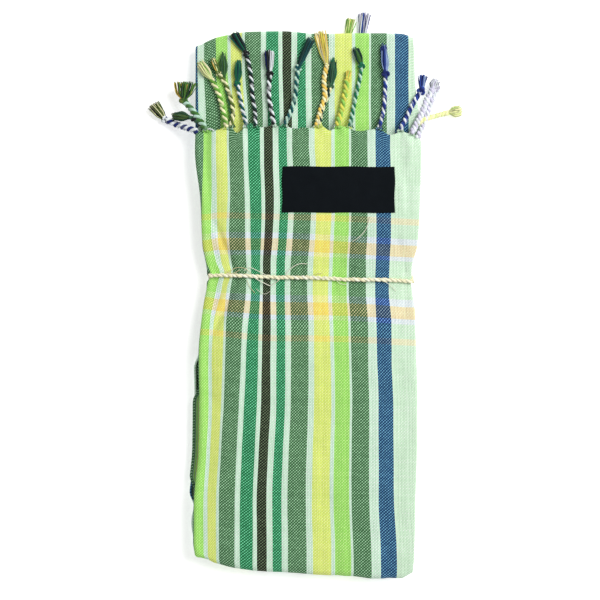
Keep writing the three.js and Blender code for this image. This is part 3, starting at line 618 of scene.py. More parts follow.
# ------------------------------------------------------------------ materials
class Graph:
    """A material's nodes, written as sums."""

    def __init__(self, name):
        self.material = bpy.data.materials.new(name)
        self.material.use_nodes = True
        self.tree = self.material.node_tree
        self.tree.nodes.clear()

    def node(self, kind, **props):
        n = self.tree.nodes.new(kind)
        for k, v in props.items():
            setattr(n, k, v)
        return n

    def put(self, socket, value):
        if isinstance(value, bpy.types.NodeSocket):
            self.tree.links.new(value, socket)
        elif value is not None:
            socket.default_value = value

    def math(self, op, a, b=None, c=None, clamp=False):
        n = self.node("ShaderNodeMath", operation=op, use_clamp=clamp)
        for socket, value in zip(n.inputs, (a, b, c)):
            self.put(socket, value)
        return n.outputs[0]

    def blend(self, fac, a, b, kind="MIX"):
        n = self.node("ShaderNodeMix", data_type="RGBA", blend_type=kind, clamp_factor=True)
        self.put(n.inputs[0], fac)
        for socket, value in ((n.inputs[6], a), (n.inputs[7], b)):
            if not isinstance(value, bpy.types.NodeSocket):
                value = (*[float(x) for x in value][:3], 1.0)
            self.put(socket, value)
        return n.outputs[2]

    def scale(self, colour, factor):
        n = self.node("ShaderNodeVectorMath", operation="SCALE")
        self.put(n.inputs[0], colour)
        self.put(n.inputs[3], factor)
        return n.outputs[0]

    def vector(self, op, a, b):
        n = self.node("ShaderNodeVectorMath", operation=op)
        self.put(n.inputs[0], a)
        self.put(n.inputs[1], b)
        return n.outputs[0]

    def combine(self, x, y=0.0, z=0.0):
        n = self.node("ShaderNodeCombineXYZ")
        for socket, value in zip(n.inputs, (x, y, z)):
            self.put(socket, value)
        return n.outputs[0]

    def split(self, name):
        a = self.node("ShaderNodeAttribute", attribute_name=name, attribute_type="GEOMETRY")
        s = self.node("ShaderNodeSeparateXYZ")
        self.put(s.inputs[0], a.outputs["Vector"])
        return s.outputs[0], s.outputs[1], s.outputs[2]

    def ramp(self, fac, stops, kind="CONSTANT"):
        n = self.node("ShaderNodeValToRGB")
        r = n.color_ramp
        r.interpolation = kind
        stops = sorted(stops, key=lambda s: s[0])
        while len(r.elements) < len(stops):
            r.elements.new(1.0)
        for e, (at, colour) in zip(r.elements, stops):
            e.position = at
            e.color = (*[float(c) for c in colour], 1.0)
        self.put(n.inputs[0], fac)
        return n.outputs[0]

    def noise(self, vector, scale=1.0, detail=2.0, rough=0.5):
        n = self.node("ShaderNodeTexNoise", noise_dimensions="3D")
        self.put(n.inputs["Vector"], vector)
        n.inputs["Scale"].default_value = scale
        n.inputs["Detail"].default_value = detail
        n.inputs["Roughness"].default_value = rough
        return n.outputs[0]

    def grain(self, w):
        n = self.node("ShaderNodeTexWhiteNoise", noise_dimensions="1D")
        self.put(n.inputs["W"], w)
        return n.outputs[0]

    def bump(self, height, strength, distance):
        n = self.node("ShaderNodeBump")
        n.inputs["Strength"].default_value = strength
        n.inputs["Distance"].default_value = distance
        self.put(n.inputs["Height"], height)
        return n.outputs[0]

    def finish(self, colour, normal, roughness, sheen=0.0, specular=0.3, glow=0.0):
        b = self.node("ShaderNodeBsdfPrincipled")
        out = self.node("ShaderNodeOutputMaterial")
        self.put(b.inputs["Base Color"], colour)
        self.put(b.inputs["Normal"], normal)
        b.inputs["Roughness"].default_value = roughness
        b.inputs["Specular IOR Level"].default_value = specular
        b.inputs["Sheen Weight"].default_value = sheen
        b.inputs["Sheen Roughness"].default_value = 0.5
        if glow:
            b.inputs["Emission Color"].default_value = (1.0, 1.0, 1.0, 1.0)
            b.inputs["Emission Strength"].default_value = glow
        self.tree.links.new(b.outputs[0], out.inputs[0])
        return self.material


ENDS_PITCH, PICKS_PITCH = 1.13, 1.13  # between neighbouring pairs of threads, across and along
# The weft changes colour in bands: where each starts, in mm, and its tint of warp and dots.
PLAIN = ((1.0, 1.0, 1.0), (1.0, 1.0, 1.0))
PEACH = ((1.40, 0.87, 0.72), (1.55, 0.86, 0.76))
PEACH_THIN = ((1.24, 0.91, 0.82), (1.4, 0.90, 0.84))
LILAC = ((1.18, 0.98, 1.40), (1.25, 0.97, 1.42))
BANDS = [
    (0.0, PLAIN), (64.8, PEACH_THIN), (69.2, PLAIN), (79.3, LILAC), (82.9, PEACH), (93.1, LILAC),
    (96.7, PLAIN), (127.9, LILAC), (131.5, PEACH), (141.7, LILAC), (145.3, PLAIN), (155.8, PEACH_THIN),
    (160.2, PLAIN),
]
V_RANGE = 400.0
TINT_UNIT = 2.0  # a ramp holds 0 to 1, so tints are kept at half
DOT_FULL, DOT_ACROSS, DOT_ALONG = 1.05, 2.3, 1.0  # how a dot of weft fills its place


def twill(name, shade=1.0, sheen=0.05):
    """Cotton woven in paired threads, in the chart's stripes, with the weft's bands across.
    The weft's pairs show as dots that lean together into slanting lines."""
    g = Graph(name)
    u, v, _ = g.split("cloth")
    place = g.combine(u, v, 0.0)
    # threads wander by a fraction of their own width
    drift = g.math("MULTIPLY", g.math("SUBTRACT", g.noise(g.combine(g.math("MULTIPLY", u, 0.16), g.math("MULTIPLY", v, 0.025), 2.0), 1.0, 1.0), 0.5), 0.7)
    sway = g.math("MULTIPLY", g.math("SUBTRACT", g.noise(g.combine(g.math("MULTIPLY", u, 0.025), g.math("MULTIPLY", v, 0.16), 7.0), 1.0, 1.0), 0.5), 0.7)
    cu = g.math("ADD", g.math("DIVIDE", u, ENDS_PITCH), drift)
    cv = g.math("ADD", g.math("DIVIDE", v, PICKS_PITCH), sway)
    iu, iv = g.math("FLOOR", cu), g.math("FLOOR", cv)
    fu = g.math("SUBTRACT", g.math("SUBTRACT", cu, iu), 0.5)
    fv = g.math("SUBTRACT", g.math("SUBTRACT", cv, iv), 0.5)
    # the weft passes over every other pair of ends, one pair on in each row
    turn = g.math("FLOORED_MODULO", g.math("ADD", iu, iv), 2.0)
    over = g.math("LESS_THAN", turn, 0.5)
    slip, lean = g.math("ADD", fu, fv), g.math("SUBTRACT", fu, fv)
    rounded = g.math("SUBTRACT", DOT_FULL, g.math("ADD", g.math("MULTIPLY", g.math("MULTIPLY", slip, slip), DOT_ACROSS),
                                                  g.math("MULTIPLY", g.math("MULTIPLY", lean, lean), DOT_ALONG)), clamp=True)
    own = g.math("ADD", 0.72, g.math("MULTIPLY", g.grain(g.math("ADD", g.math("MULTIPLY", iu, 7.13), g.math("MULTIPLY", iv, 3.77))), 0.5))
    dot = g.math("MULTIPLY", g.math("MULTIPLY", over, rounded), own)
    # the chart, one colour to a thread
    half_u = g.math("FLOOR", g.math("MULTIPLY", cu, 2.0))
    thread_u = g.math("MULTIPLY", g.math("ADD", half_u, 0.5), ENDS_PITCH / 2)
    share = g.math("DIVIDE", g.math("SUBTRACT", thread_u, U_LOW), U_HIGH - U_LOW, clamp=True)
    stops = [(max(0.0, (start - U_LOW) / (U_HIGH - U_LOW)), yarn) for start, yarn in CHART]
    warp = g.ramp(share, [(at, YARNS[y][0]) for at, y in stops])
    weft = g.ramp(share, [(at, YARNS[y][1]) for at, y in stops])
    row_v = g.math("DIVIDE", g.math("MULTIPLY", g.math("ADD", iv, 0.5), PICKS_PITCH), V_RANGE, clamp=True)
    warp_tint = g.ramp(row_v, [(s / V_RANGE, np.array(t[0]) / TINT_UNIT) for s, t in BANDS])
    weft_tint = g.ramp(row_v, [(s / V_RANGE, np.array(t[1]) / TINT_UNIT) for s, t in BANDS])
    warp = g.vector("MULTIPLY", warp, g.scale(warp_tint, TINT_UNIT))
    weft = g.vector("MULTIPLY", weft, g.scale(weft_tint, TINT_UNIT))
    # each thread has its own depth of dye, and thick and thin places along it
    dye = g.math("ADD", 0.88, g.math("MULTIPLY", g.grain(half_u), 0.24))
    slub = g.math("ADD", 0.84, g.math("MULTIPLY", g.noise(g.combine(g.math("MULTIPLY", half_u, 3.7), g.math("MULTIPLY", v, 0.2), 0.0), 1.0, 2.0), 0.32))
    # two threads lie side by side in each pair
    two_u = g.math("SUBTRACT", g.math("FRACT", g.math("MULTIPLY", cu, 2.0)), 0.5)
    two_v = g.math("SUBTRACT", g.math("FRACT", g.math("MULTIPLY", cv, 2.0)), 0.5)
    two_u2, two_v2 = g.math("MULTIPLY", two_u, two_u), g.math("MULTIPLY", two_v, two_v)
    fu2, fv2 = g.math("MULTIPLY", fu, fu), g.math("MULTIPLY", fv, fv)
    # painted shade and highlight: each warp thread is lighter on its crown and darker at its sides, where the threads
    # meet
    thread_painted_shade = g.math("SUBTRACT", 1.12, g.math("ADD", g.math("MULTIPLY", two_u2, 0.7), g.math("MULTIPLY", fu2, 0.8)))
    pick = g.math("ADD", 0.90, g.math("MULTIPLY", g.grain(g.math("ADD", iv, 517.0)), 0.20))
    warp = g.scale(warp, g.math("MULTIPLY", g.math("MULTIPLY", dye, slub), thread_painted_shade))
    # the weft's dots get the same painted shade, darker at each thread's sides
    weft = g.scale(weft, g.math("MULTIPLY", pick, g.math("SUBTRACT", 1.08, g.math("MULTIPLY", two_v2, 0.7))))
    # painted shade: broad soft patches of lighter and darker colour stand in for the shading of soft creases, and shade
    # darkens the whole cloth (0.9 on the inner plies)
    blotchy_painted_shade = g.math("ADD", 0.90 * shade, g.math("MULTIPLY", g.noise(place, 0.035, 3.0), 0.20 * shade))
    colour = g.vector("MINIMUM", g.scale(g.blend(dot, warp, weft), blotchy_painted_shade), (0.93, 0.93, 0.93))
    # relief: round floats of warp, the weft's knuckles between them, and soft rumples
    float_h = g.math("SUBTRACT", 0.25, g.math("ADD", g.math("MULTIPLY", two_u2, 0.35), g.math("ADD", g.math("MULTIPLY", fu2, 0.5), g.math("MULTIPLY", fv2, 0.35))))
    knuckle = g.math("SUBTRACT", 0.22, g.math("ADD", g.math("MULTIPLY", two_v2, 0.35), g.math("ADD", g.math("MULTIPLY", fv2, 0.5), g.math("MULTIPLY", fu2, 0.35))))
    yarn_h = g.math("ADD", g.math("MULTIPLY", float_h, g.math("SUBTRACT", 1.0, over)), g.math("MULTIPLY", knuckle, over))
    rumple = g.noise(place, 0.11, 3.0, 0.55)
    height = g.math("ADD", g.math("MULTIPLY", yarn_h, 0.7), g.math("MULTIPLY", rumple, 0.6))
    return g.finish(colour, g.bump(height, 0.75, 0.0011), 0.86, sheen=sheen, specular=0.2)


def yarn_material(name, roughness=0.88, fibre=1.0, sheen=0.15, pitch=0.9):
    """Spun yarn: its colour is on the mesh, its fibres run round it at a slant."""
    g = Graph(name)
    s, a, n = g.split("yarn")
    c = g.node("ShaderNodeAttribute", attribute_name="dye", attribute_type="GEOMETRY")
    slant = g.math("ADD", g.math("MULTIPLY", s, 2 * math.pi / pitch), g.math("MULTIPLY", a, 3.0))
    line = g.math("SINE", g.math("ADD", slant, g.math("MULTIPLY", g.noise(g.combine(s, a, n), 1.6, 2.0), 5.0)))
    fluff = g.noise(g.combine(g.math("MULTIPLY", s, 2.0), g.math("MULTIPLY", a, 1.6), n), 1.3, 3.0, 0.6)
    value = g.math("ADD", g.math("ADD", 0.80, g.math("MULTIPLY", line, 0.13 * fibre)), g.math("MULTIPLY", fluff, 0.36))
    colour = g.scale(c.outputs["Color"], value)
    height = g.math("ADD", g.math("MULTIPLY", line, 0.5), fluff)
    return g.finish(colour, g.bump(height, 0.6, 0.00018), roughness, sheen=sheen, specular=0.2)


def label_material(name):
    g = Graph(name)
    x, y, _ = g.split("cloth")
    rib = g.math("SINE", g.math("MULTIPLY", y, 2 * math.pi / 0.42))
    cross = g.math("SINE", g.math("MULTIPLY", x, 2 * math.pi / 0.3))
    weave = g.math("ADD", g.math("MULTIPLY", rib, 0.7), g.math("MULTIPLY", cross, 0.3))
    cloud = g.noise(g.combine(x, y, 0.0), 0.12, 3.0)
    lint = g.math("GREATER_THAN", g.noise(g.combine(g.math("MULTIPLY", x, 1.1), g.math("MULTIPLY", y, 1.1), 3.0), 1.0, 2.0), 0.77)
    base = g.blend(g.math("ADD", 0.5, g.math("MULTIPLY", weave, 0.28)), lin(6, 10, 14), lin(16, 22, 27))
    base = g.blend(g.math("MULTIPLY", lint, 0.05), base, lin(120, 126, 128))
    base = g.scale(base, g.math("ADD", 0.78, g.math("MULTIPLY", cloud, 0.44)))
    height = g.math("ADD", g.math("MULTIPLY", weave, 0.5), g.math("MULTIPLY", cloud, 0.8))
    return g.finish(base, g.bump(height, 0.5, 0.00012), 0.8, sheen=0.01, specular=0.08)


TWILL = twill("kikoy_twill")
# a darker copy of the twill for the inner plies: painted shade where they lie between the layers
TWILL_INNER_SHADED = twill("kikoy_twill_inner_shaded", shade=0.9, sheen=0.08)
FRINGE_YARN = yarn_material("fringe_yarn")
TWINE_YARN = yarn_material("natural_twine", roughness=0.85, fibre=1.3, pitch=1.5)
LABEL_WEAVE = label_material("label_black_weave")

# ------------------------------------------------------------------ the front flap
low1, low3 = float(RUN[1][1](0.0)), float(RUN[3][1](0.0))
FRONT_IN, BACK_IN = 132 - TUCK, 142 - TUCK

stops = walk((1, 0.0, share_at(1, 118.0), 14), (1, share_at(1, 118.0), 1.0, 186), ("F1", 0.0, 1.0, 14),
             (2, 0.0, share_at(2, low1 + HEM_WRAP), 10))
front = pinched(stretch(stops, True))
normals = outward(front, 1)
on_flap = np.array([s[0] == 1 for s in stops])[:, None]
uv = np.zeros(front.shape)
uv[..., 0] = face_u(front, FLAP_ANCHORS)
v_face = flap_v(front[..., 0], front[..., 1])
last_flap = int(np.sum(on_flap)) - 1
arc = arc_along(front, 0)
uv[..., 1] = np.where(on_flap, v_face, v_face[last_flap] + arc - arc[last_flap])
uv[..., 0] = np.where(on_flap, uv[..., 0], uv[last_flap, :, 0][None, :])
# the fringed edge is drawn out at each twisted end
weight = soft((19.0 - arc) / 19.0) * on_flap
front[..., 1] += pulled(front[..., 0]) * weight * side_weight(front.shape[:2])
relief = flap_relief(front[..., 0], front[..., 1])
rows_from_fold = np.clip((last_flap + 14 - np.arange(len(stops))) / 14.0, 0, 1)[:, None]
front = smooth_rows(front, normals, relief, side_weight(front.shape[:2]) * (0.35 + 0.65 * rows_from_fold))
# the top ply's edge lies a little lower than the cloth behind it
front[..., 2] -= 0.5 * soft((7.0 - arc) / 7.0) * on_flap
cloth_front = shell("cloth_front", front, outward(front, 1), uv, TWILL)

# ------------------------------------------------------------------ the middle fold
stops = walk((2, share_at(2, FRONT_IN), 1.0, 56), ("M", 0.0, 1.0, 16), (3, 0.0, share_at(3, BACK_IN), 44))
middle = stretch(stops, False)
normals = outward(middle, 1)
rows_up = np.array([s[0] == 2 for s in stops])[:, None]
uv = np.zeros(middle.shape)
uv[..., 0] = face_u(middle, MIDDLE_ANCHORS)
last_up = int(np.sum(rows_up)) - 1
uv[..., 0] = np.where(rows_up, uv[..., 0], uv[last_up, :, 0][None, :])
uv[..., 1] = 560.0 - arc_along(middle, 0)
relief = middle_relief(middle[..., 0], middle[..., 1])
calm = np.clip(np.abs(np.arange(len(stops)) - (last_up + 8)) / 16.0, 0, 1)[:, None]
middle = smooth_rows(middle, normals, relief, side_weight(middle.shape[:2]) * (0.3 + 0.7 * calm))
cloth_middle = shell("cloth_middle", middle, outward(middle, 1), uv, TWILL)

# ------------------------------------------------------------------ the under flap
stops = walk((3, share_at(3, low3 + HEM_WRAP), 1.0, 10), ("F3", 0.0, 1.0, 14), (4, 0.0, 1.0, 170))
under = pinched(stretch(stops, True))
normals = outward(under, 1)
uv = np.zeros(under.shape)
uv[..., 0] = face_u(under, UNDER_ANCHORS)
rows_low = np.array([s[0] == 4 for s in stops])[:, None]
first_low = len(stops) - int(np.sum(rows_low))
uv[..., 0] = np.where(rows_low, uv[..., 0], uv[first_low, :, 0][None, :])
arc = arc_along(under, 0)
uv[..., 1] = arc[-1][None, :] - arc
relief = under_relief(under[..., 0], under[..., 1])
# it lies on the table: only hollows, no bumps, where it rests
relief = np.where(rows_low, np.minimum(relief, 0.0), relief * 0.4)
under = smooth_rows(under, normals, relief, side_weight(under.shape[:2]))
cloth_under = shell("cloth_under", under, outward(under, 1), uv, TWILL)


# ------------------------------------------------------------------ the inner plies
LOBES = 3  # folded edges on a packet's side


def lobed_ring(stop, k, side_a, side_b, mid_a, mid_b, in_left, in_right):
    """One ring of the inner plies: each side runs over three rounded folds."""
    on = stop[0]
    packet = FOLD[on][0] if on in FOLD else on
    y = float(at_stop(stop, 0.5, 0.5, 0.0, 0.0)[1])
    t = float(thick(packet, y))
    us, ms, il, ir = [], [], [], []
    per = 7
    left, right = [], []
    for lobe in range(LOBES):
        seed = lobe * 7 + packet * 31
        out_l = max(0.0, 0.9 + 0.8 * math.sin(k * 0.031 + seed) + 0.4 * math.sin(k * 0.083 + seed * 1.7))
        out_r = max(0.0, 0.9 + 0.8 * math.sin(k * 0.027 + seed * 2.3) + 0.4 * math.sin(k * 0.071 + seed))
        for i in range(per):
            f = i / (per - 1)
            full = math.sqrt(max(0.0, 1 - (2 * f - 1) ** 2))
            share = (lobe + f) / LOBES
            lo_l, hi_l = (mid_b, mid_a) if in_left > 2 else (side_b, side_a)
            left.append((mix(lo_l / t, 1 - hi_l / t, share), in_left + mix(2.6, out_l, full)))
            right.append((mix(side_b / t, 1 - side_a / t, share), in_right + mix(2.6, out_r, full)))
    for m, inset in left:
        us.append(0.0), ms.append(m), il.append(inset), ir.append(0.0)
    for i in range(1, 12):
        us.append(min(1.0, i / 11)), ms.append(1 - mid_a / t), il.append(in_left + 3.4), ir.append(in_right + 3.6)
    for m, inset in reversed(right):
        us.append(1.0), ms.append(m), il.append(0.0), ir.append(inset)
    for i in range(11, 0, -1):
        us.append(min(1.0, i / 11)), ms.append(mid_b / t), il.append(in_left + 3.4), ir.append(in_right + 3.6)
    return at_stop(stop, np.array(us), np.array(ms), np.array(il), np.array(ir))


IN = CLOTH + 0.22
DEEP = 3.3  # where a shell with creases covers the plies
# each leg: its stops, then how far the plies lie in from the packet's faces at their sides
# and across their middle, and from its left and right
legs = [
    (walk((1, 0.030, 1.0, 90), ("F1", 0.0, 1.0, 12), (2, 0.0, share_at(2, low1 + HEM_WRAP - 1), 8)), (1.2, 0.12, DEEP + 0.5, 0.12, 4.2, IN)),
    (walk((2, share_at(2, low1 + HEM_WRAP + 1), share_at(2, FRONT_IN - 1), 76)), (0.12, 0.12, 0.12, 0.12, 0.0, 0.0)),
    (walk((2, share_at(2, FRONT_IN + 1), 1.0, 24), ("M", 0.0, 1.0, 12), (3, 0.0, share_at(3, BACK_IN + 1), 24)), (0.12, 1.2, 0.12, DEEP, 3.2, IN)),
    (walk((3, share_at(3, BACK_IN - 1), share_at(3, low3 + HEM_WRAP + 1), 76)), (0.12, 0.12, 0.12, 0.12, 0.0, 0.0)),
    (walk((3, share_at(3, low3 + HEM_WRAP - 1), 1.0, 8), ("F3", 0.0, 1.0, 12), (4, 0.0, 0.996, 90)), (1.2, 0.12, DEEP, 0.12, 3.2, IN)),
]
rings, k = [], 0
for leg, insets in legs:
    for stop in leg:
        rings.append(lobed_ring(stop, k, *insets))
        k += 1
rings = pinched(np.array(rings))
rows, cols = rings.shape[:2]
verts = rings.reshape(-1, 3)
i = np.arange(rows - 1)[:, None] * cols + np.arange(cols)[None, :]
j = np.arange(rows - 1)[:, None] * cols + (np.arange(cols)[None, :] + 1) % cols
faces = np.stack([i, j, j + cols, i + cols], -1).reshape(-1, 4).tolist()
layer_arc = arc_along(rings, 0)
ring_arc = arc_along(rings, 1)
# each folded edge shows another stretch of the chart: sage where the lower ones stand out
per_side = LOBES * 7
layer_u = np.zeros((rows, cols))
side_u = [-36.0, 46.0, -67.0]
right_u = [88.0, 28.0, 106.0]
for lobe in range(LOBES):
    layer_u[:, lobe * 7:(lobe + 1) * 7] = side_u[lobe]
    a = per_side + 11 + (LOBES - 1 - lobe) * 7
    layer_u[:, a:a + 7] = right_u[lobe]
# left of the third packet, where it stands out, every fold is sage; the others differ
packet_of = np.array([FOLD[st[0]][0] if st[0] in FOLD else st[0] for leg, _ in legs for st in leg])
for packet, left_at, right_at in ((1, (-48.0, -26.0, 57.0), (118.0, 66.0, 24.0)), (2, (-47.0, 25.0, -58.0), (70.0, 110.0, 25.0)),
                                  (3, (-26.0, 24.0, 71.0), (-27.0, 100.0, 58.0)), (4, (72.0, -57.0, -26.0), (56.0, 30.0, -90.0))):
    for lobe in range(LOBES):
        rows_of = packet_of == packet
        layer_u[rows_of, lobe * 7:(lobe + 1) * 7] = left_at[lobe]
        a = per_side + 11 + (LOBES - 1 - lobe) * 7
        layer_u[rows_of, a:a + 7] = right_at[lobe]
for lobe in range(2 * LOBES):
    a = lobe * 7 if lobe < LOBES else per_side + 11 + (lobe - LOBES) * 7
    layer_u[:, a:a + 7] += ring_arc[:, a:a + 7] - ring_arc[:, a + 3:a + 4]
for cols_of in (range(per_side, per_side + 11), range(2 * per_side + 11, cols)):
    layer_u[:, list(cols_of)] = rings[:, list(cols_of), 0]
layer_uv = np.stack([layer_u + 0.35 * np.sin(layer_arc * 0.02), 240 + np.minimum(layer_arc, 1500.0), np.zeros_like(layer_u)], -1)

# at both fringed ends the plies' cut edges lie one on another like pages
plates_v, plates_f, plates_uv = [], [], []


def plate(packet, share_from, m0, m1, reach, in_x, chart_shift, seed):
    """One ply's end: a thin rounded sheet from inside the packet to its cut edge."""
    xs = np.linspace(0, 1, 48)
    base = sum(len(p) for p in plates_v)
    ring_rows = []
    for step in range(4):
        t = mix(share_from, 0.028 if packet == 1 else 1.0, step / 3)
        top = on_packet(packet, t, xs, np.full_like(xs, m1), in_x, in_x)
        low = on_packet(packet, t, xs, np.full_like(xs, m0), in_x, in_x)
        if step == 3:
            out = reach + 0.8 * np.sin(xs * 23 + seed) + 0.5 * np.sin(xs * 61 + seed * 2)
            top[:, 1] += out - 0.2
            low[:, 1] += out - 0.2
        ring_rows.append(np.concatenate([top, low[::-1]]))
    n = len(ring_rows[0])
    plates_v.append(np.concatenate(ring_rows))
    for r in range(3):
        for q in range(n):
            q2 = (q + 1) % n
            plates_f.append([base + r * n + q, base + r * n + q2, base + (r + 1) * n + q2, base + (r + 1) * n + q])
    plates_f.append([base + q for q in range(n)][::-1])
    plates_f.append([base + 3 * n + q for q in range(n)])
    v = np.concatenate(ring_rows)
    plates_uv.append(np.stack([chart_at(MIDDLE_ANCHORS, v[:, 0] + chart_shift, v[:, 1]), 20 + 0 * v[:, 0], 0 * v[:, 0]], -1))


for k in range(5):
    m1 = 0.50 - k * 0.098
    plate(1, 0.06, m1 - 0.075, m1, [-1.4, -0.2, -2.0, 0.3, -0.9][k], 1.5 + 0.5 * (k % 3), [10, -26, 34, -8, 22][k], k * 2.1)
for k in range(5):
    m1 = 0.50 - k * 0.098
    plate(4, 0.97, m1 - 0.075, m1, [1.0, -0.6, 0.8, -1.2, 0.5][k], 1.5 + 0.5 * (k % 3), [-12, 24, -30, 14, -20][k], k * 1.7 + 9)
offset = len(verts)
cap0, cap1 = list(range(cols))[::-1], [(rows - 1) * cols + q for q in range(cols)]
faces = faces + [cap0, cap1] + [[q + offset for q in f] for f in plates_f]
# the inner plies get the darker copy of the twill, with its painted shade
cloth_layers = make_mesh("cloth_layers", np.concatenate([verts] + plates_v), faces, TWILL_INNER_SHADED,
                         {"cloth": np.concatenate([layer_uv.reshape(-1, 3)] + plates_uv)})

# ------------------------------------------------------------------ the label
cols_l, rows_l = 88, 36
xs, ys = np.meshgrid(np.linspace(-0.5, 0.5, cols_l), np.linspace(0.5, -0.5, rows_l))
w = LABEL["width"] + 0.5 * np.sin(ys * 9.0)
dx, dy = xs * w, ys * LABEL["height"] + 0.18 * np.sin(xs * 14.0)
lx = LABEL["x"] + dx * math.cos(LABEL["turn"]) - dy * math.sin(LABEL["turn"])
ly = LABEL["y"] + dx * math.sin(LABEL["turn"]) + dy * math.cos(LABEL["turn"])
rest = FACE[4](ly) + flap_relief(lx, ly)
edge_near = np.minimum(LABEL["width"] / 2 - np.abs(dx), LABEL["height"] / 2 - np.abs(dy))
lz = rest + 0.55 + 0.22 * (1 - np.exp(-np.clip(edge_near, 0, 9) / 2.2)) + 0.08 * ripple(lx, ly, 41, 16.0, 2)
label_grid = np.stack([lx, ly, lz], -1)
label_uv = np.stack([dx, dy, np.zeros_like(dx)], -1)
label_cloth = shell("label_cloth", label_grid, outward(label_grid, 1), label_uv, LABEL_WEAVE, 0.42)


# ------------------------------------------------------------------ yarns
class Yarns:
    """Many tubes gathered into one mesh, with colour and place along each yarn."""

    def __init__(self):
        self.v, self.f, self.c, self.y, self.n = [], [], [], [], 0
        self.count = 0

    def tube(self, path, radius, colour, sides=8, seed=None, blunt=True):
        path = np.asarray(path, float)
        n = len(path)
        radius = np.broadcast_to(np.asarray(radius, float), (n,))
        colour = np.broadcast_to(np.asarray(colour, float), (n, 3))
        tangent = np.gradient(path, axis=0)
        tangent /= np.maximum(np.linalg.norm(tangent, axis=1, keepdims=True), 1e-9)
        ref = np.array([0.0, 0.0, 1.0]) if abs(tangent[0][2]) < 0.9 else np.array([1.0, 0.0, 0.0])
        a = np.zeros((n, 3))
        cur = np.cross(tangent[0], ref)
        for k in range(n):
            cur = cur - tangent[k] * np.dot(cur, tangent[k])
            cur = cur / max(np.linalg.norm(cur), 1e-9)
            a[k] = cur
        b = np.cross(tangent, a)
        w = np.arange(sides) / sides * 2 * math.pi
        ring = (path[:, None, :] + radius[:, None, None]
                * (a[:, None, :] * np.cos(w)[None, :, None] + b[:, None, :] * np.sin(w)[None, :, None]))
        s = np.concatenate([[0], np.cumsum(np.linalg.norm(np.diff(path, axis=0), axis=1))])
        base = self.n
        self.v.append(ring.reshape(-1, 3))
        self.c.append(np.repeat(colour, sides, 0))
        own = self.count * 1.37 if seed is None else seed
        self.y.append(np.stack([np.repeat(s, sides), np.tile(w, n), np.full(n * sides, own)], -1))
        i = base + np.arange(n - 1)[:, None] * sides + np.arange(sides)[None, :]
        j = base + np.arange(n - 1)[:, None] * sides + (np.arange(sides)[None, :] + 1) % sides
        self.f.extend(np.stack([i, j, j + sides, i + sides], -1).reshape(-1, 4).tolist())
        self.f.append(list(range(base, base + sides))[::-1])
        self.f.append(list(range(base + (n - 1) * sides, base + n * sides)))
        self.n += n * sides
        self.count += 1

    def ball(self, centre, size, colour, seed=0.0, rows=7, cols=10):
        """A small closed lump, for the core of a knot."""
        th = np.linspace(0.12, math.pi - 0.12, rows)
        ph = np.arange(cols) / cols * 2 * math.pi
        t, p = np.meshgrid(th, ph, indexing="ij")
        lump = 1 + 0.08 * np.sin(3 * p + seed) * np.sin(t)
        pts = np.stack([size[0] * np.sin(t) * np.cos(p) * lump, size[1] * np.sin(t) * np.sin(p) * lump,
                        size[2] * np.cos(t)], -1) + np.asarray(centre)
        base = self.n
        self.v.append(pts.reshape(-1, 3))
        self.c.append(np.broadcast_to(colour, (rows * cols, 3)))
        self.y.append(np.stack([t.ravel() * 2, p.ravel(), np.full(rows * cols, seed)], -1))
        i = base + np.arange(rows - 1)[:, None] * cols + np.arange(cols)[None, :]
        j = base + np.arange(rows - 1)[:, None] * cols + (np.arange(cols)[None, :] + 1) % cols
        self.f.extend(np.stack([i, i + cols, j + cols, j], -1).reshape(-1, 4).tolist())
        self.f.append(list(range(base, base + cols)))
        self.f.append(list(range(base + (rows - 1) * cols, base + rows * cols))[::-1])
        self.n += rows * cols
        self.count += 1

    def build(self, name, material):
        return make_mesh(name, np.concatenate(self.v), self.f, material,
                         {"yarn": np.concatenate(self.y)}, {"dye": np.concatenate(self.c)})


def spline(points, spacing=0.8):
    """A smooth line through points, with even steps."""
    p = np.asarray(points, float)
    p = np.concatenate([[2 * p[0] - p[1]], p, [2 * p[-1] - p[-2]]])
    out = []
    for i in range(1, len(p) - 2):
        t = np.linspace(0, 1, 24, endpoint=False)[:, None]
        a, b, c, d = p[i - 1], p[i], p[i + 1], p[i + 2]
        out.append(0.5 * ((2 * b) + (c - a) * t + (2 * a - 5 * b + 4 * c - d) * t**2 + (3 * b - a - 3 * c + d) * t**3))
    out = np.concatenate(out + [p[-2][None]])
    s = np.concatenate([[0], np.cumsum(np.linalg.norm(np.diff(out, axis=0), axis=1))])
    n = max(4, int(s[-1] / spacing))
    at = np.linspace(0, s[-1], n)
    return np.stack([np.interp(at, s, out[:, k]) for k in range(out.shape[1])], -1)


DYES = {
    "white": lin(236, 242, 244), "lilac": lin(222, 218, 238), "black": lin(24, 28, 30),
    "navy": lin(26, 42, 110), "blue": lin(40, 66, 150), "teal": lin(10, 82, 84), "dark": lin(16, 56, 52),
    "green": lin(20, 112, 78), "moss": lin(66, 116, 52), "olive": lin(96, 116, 50), "lime": lin(150, 206, 92),
    "leaf": lin(108, 168, 62), "pale": lin(236, 246, 172), "cream": lin(250, 246, 196),
    "yellow": lin(230, 222, 96), "gold": lin(244, 204, 92), "mint": lin(190, 226, 206), "sky": lin(150, 176, 220),
    "sage": lin(60, 104, 74), "grey": lin(120, 128, 124),
}


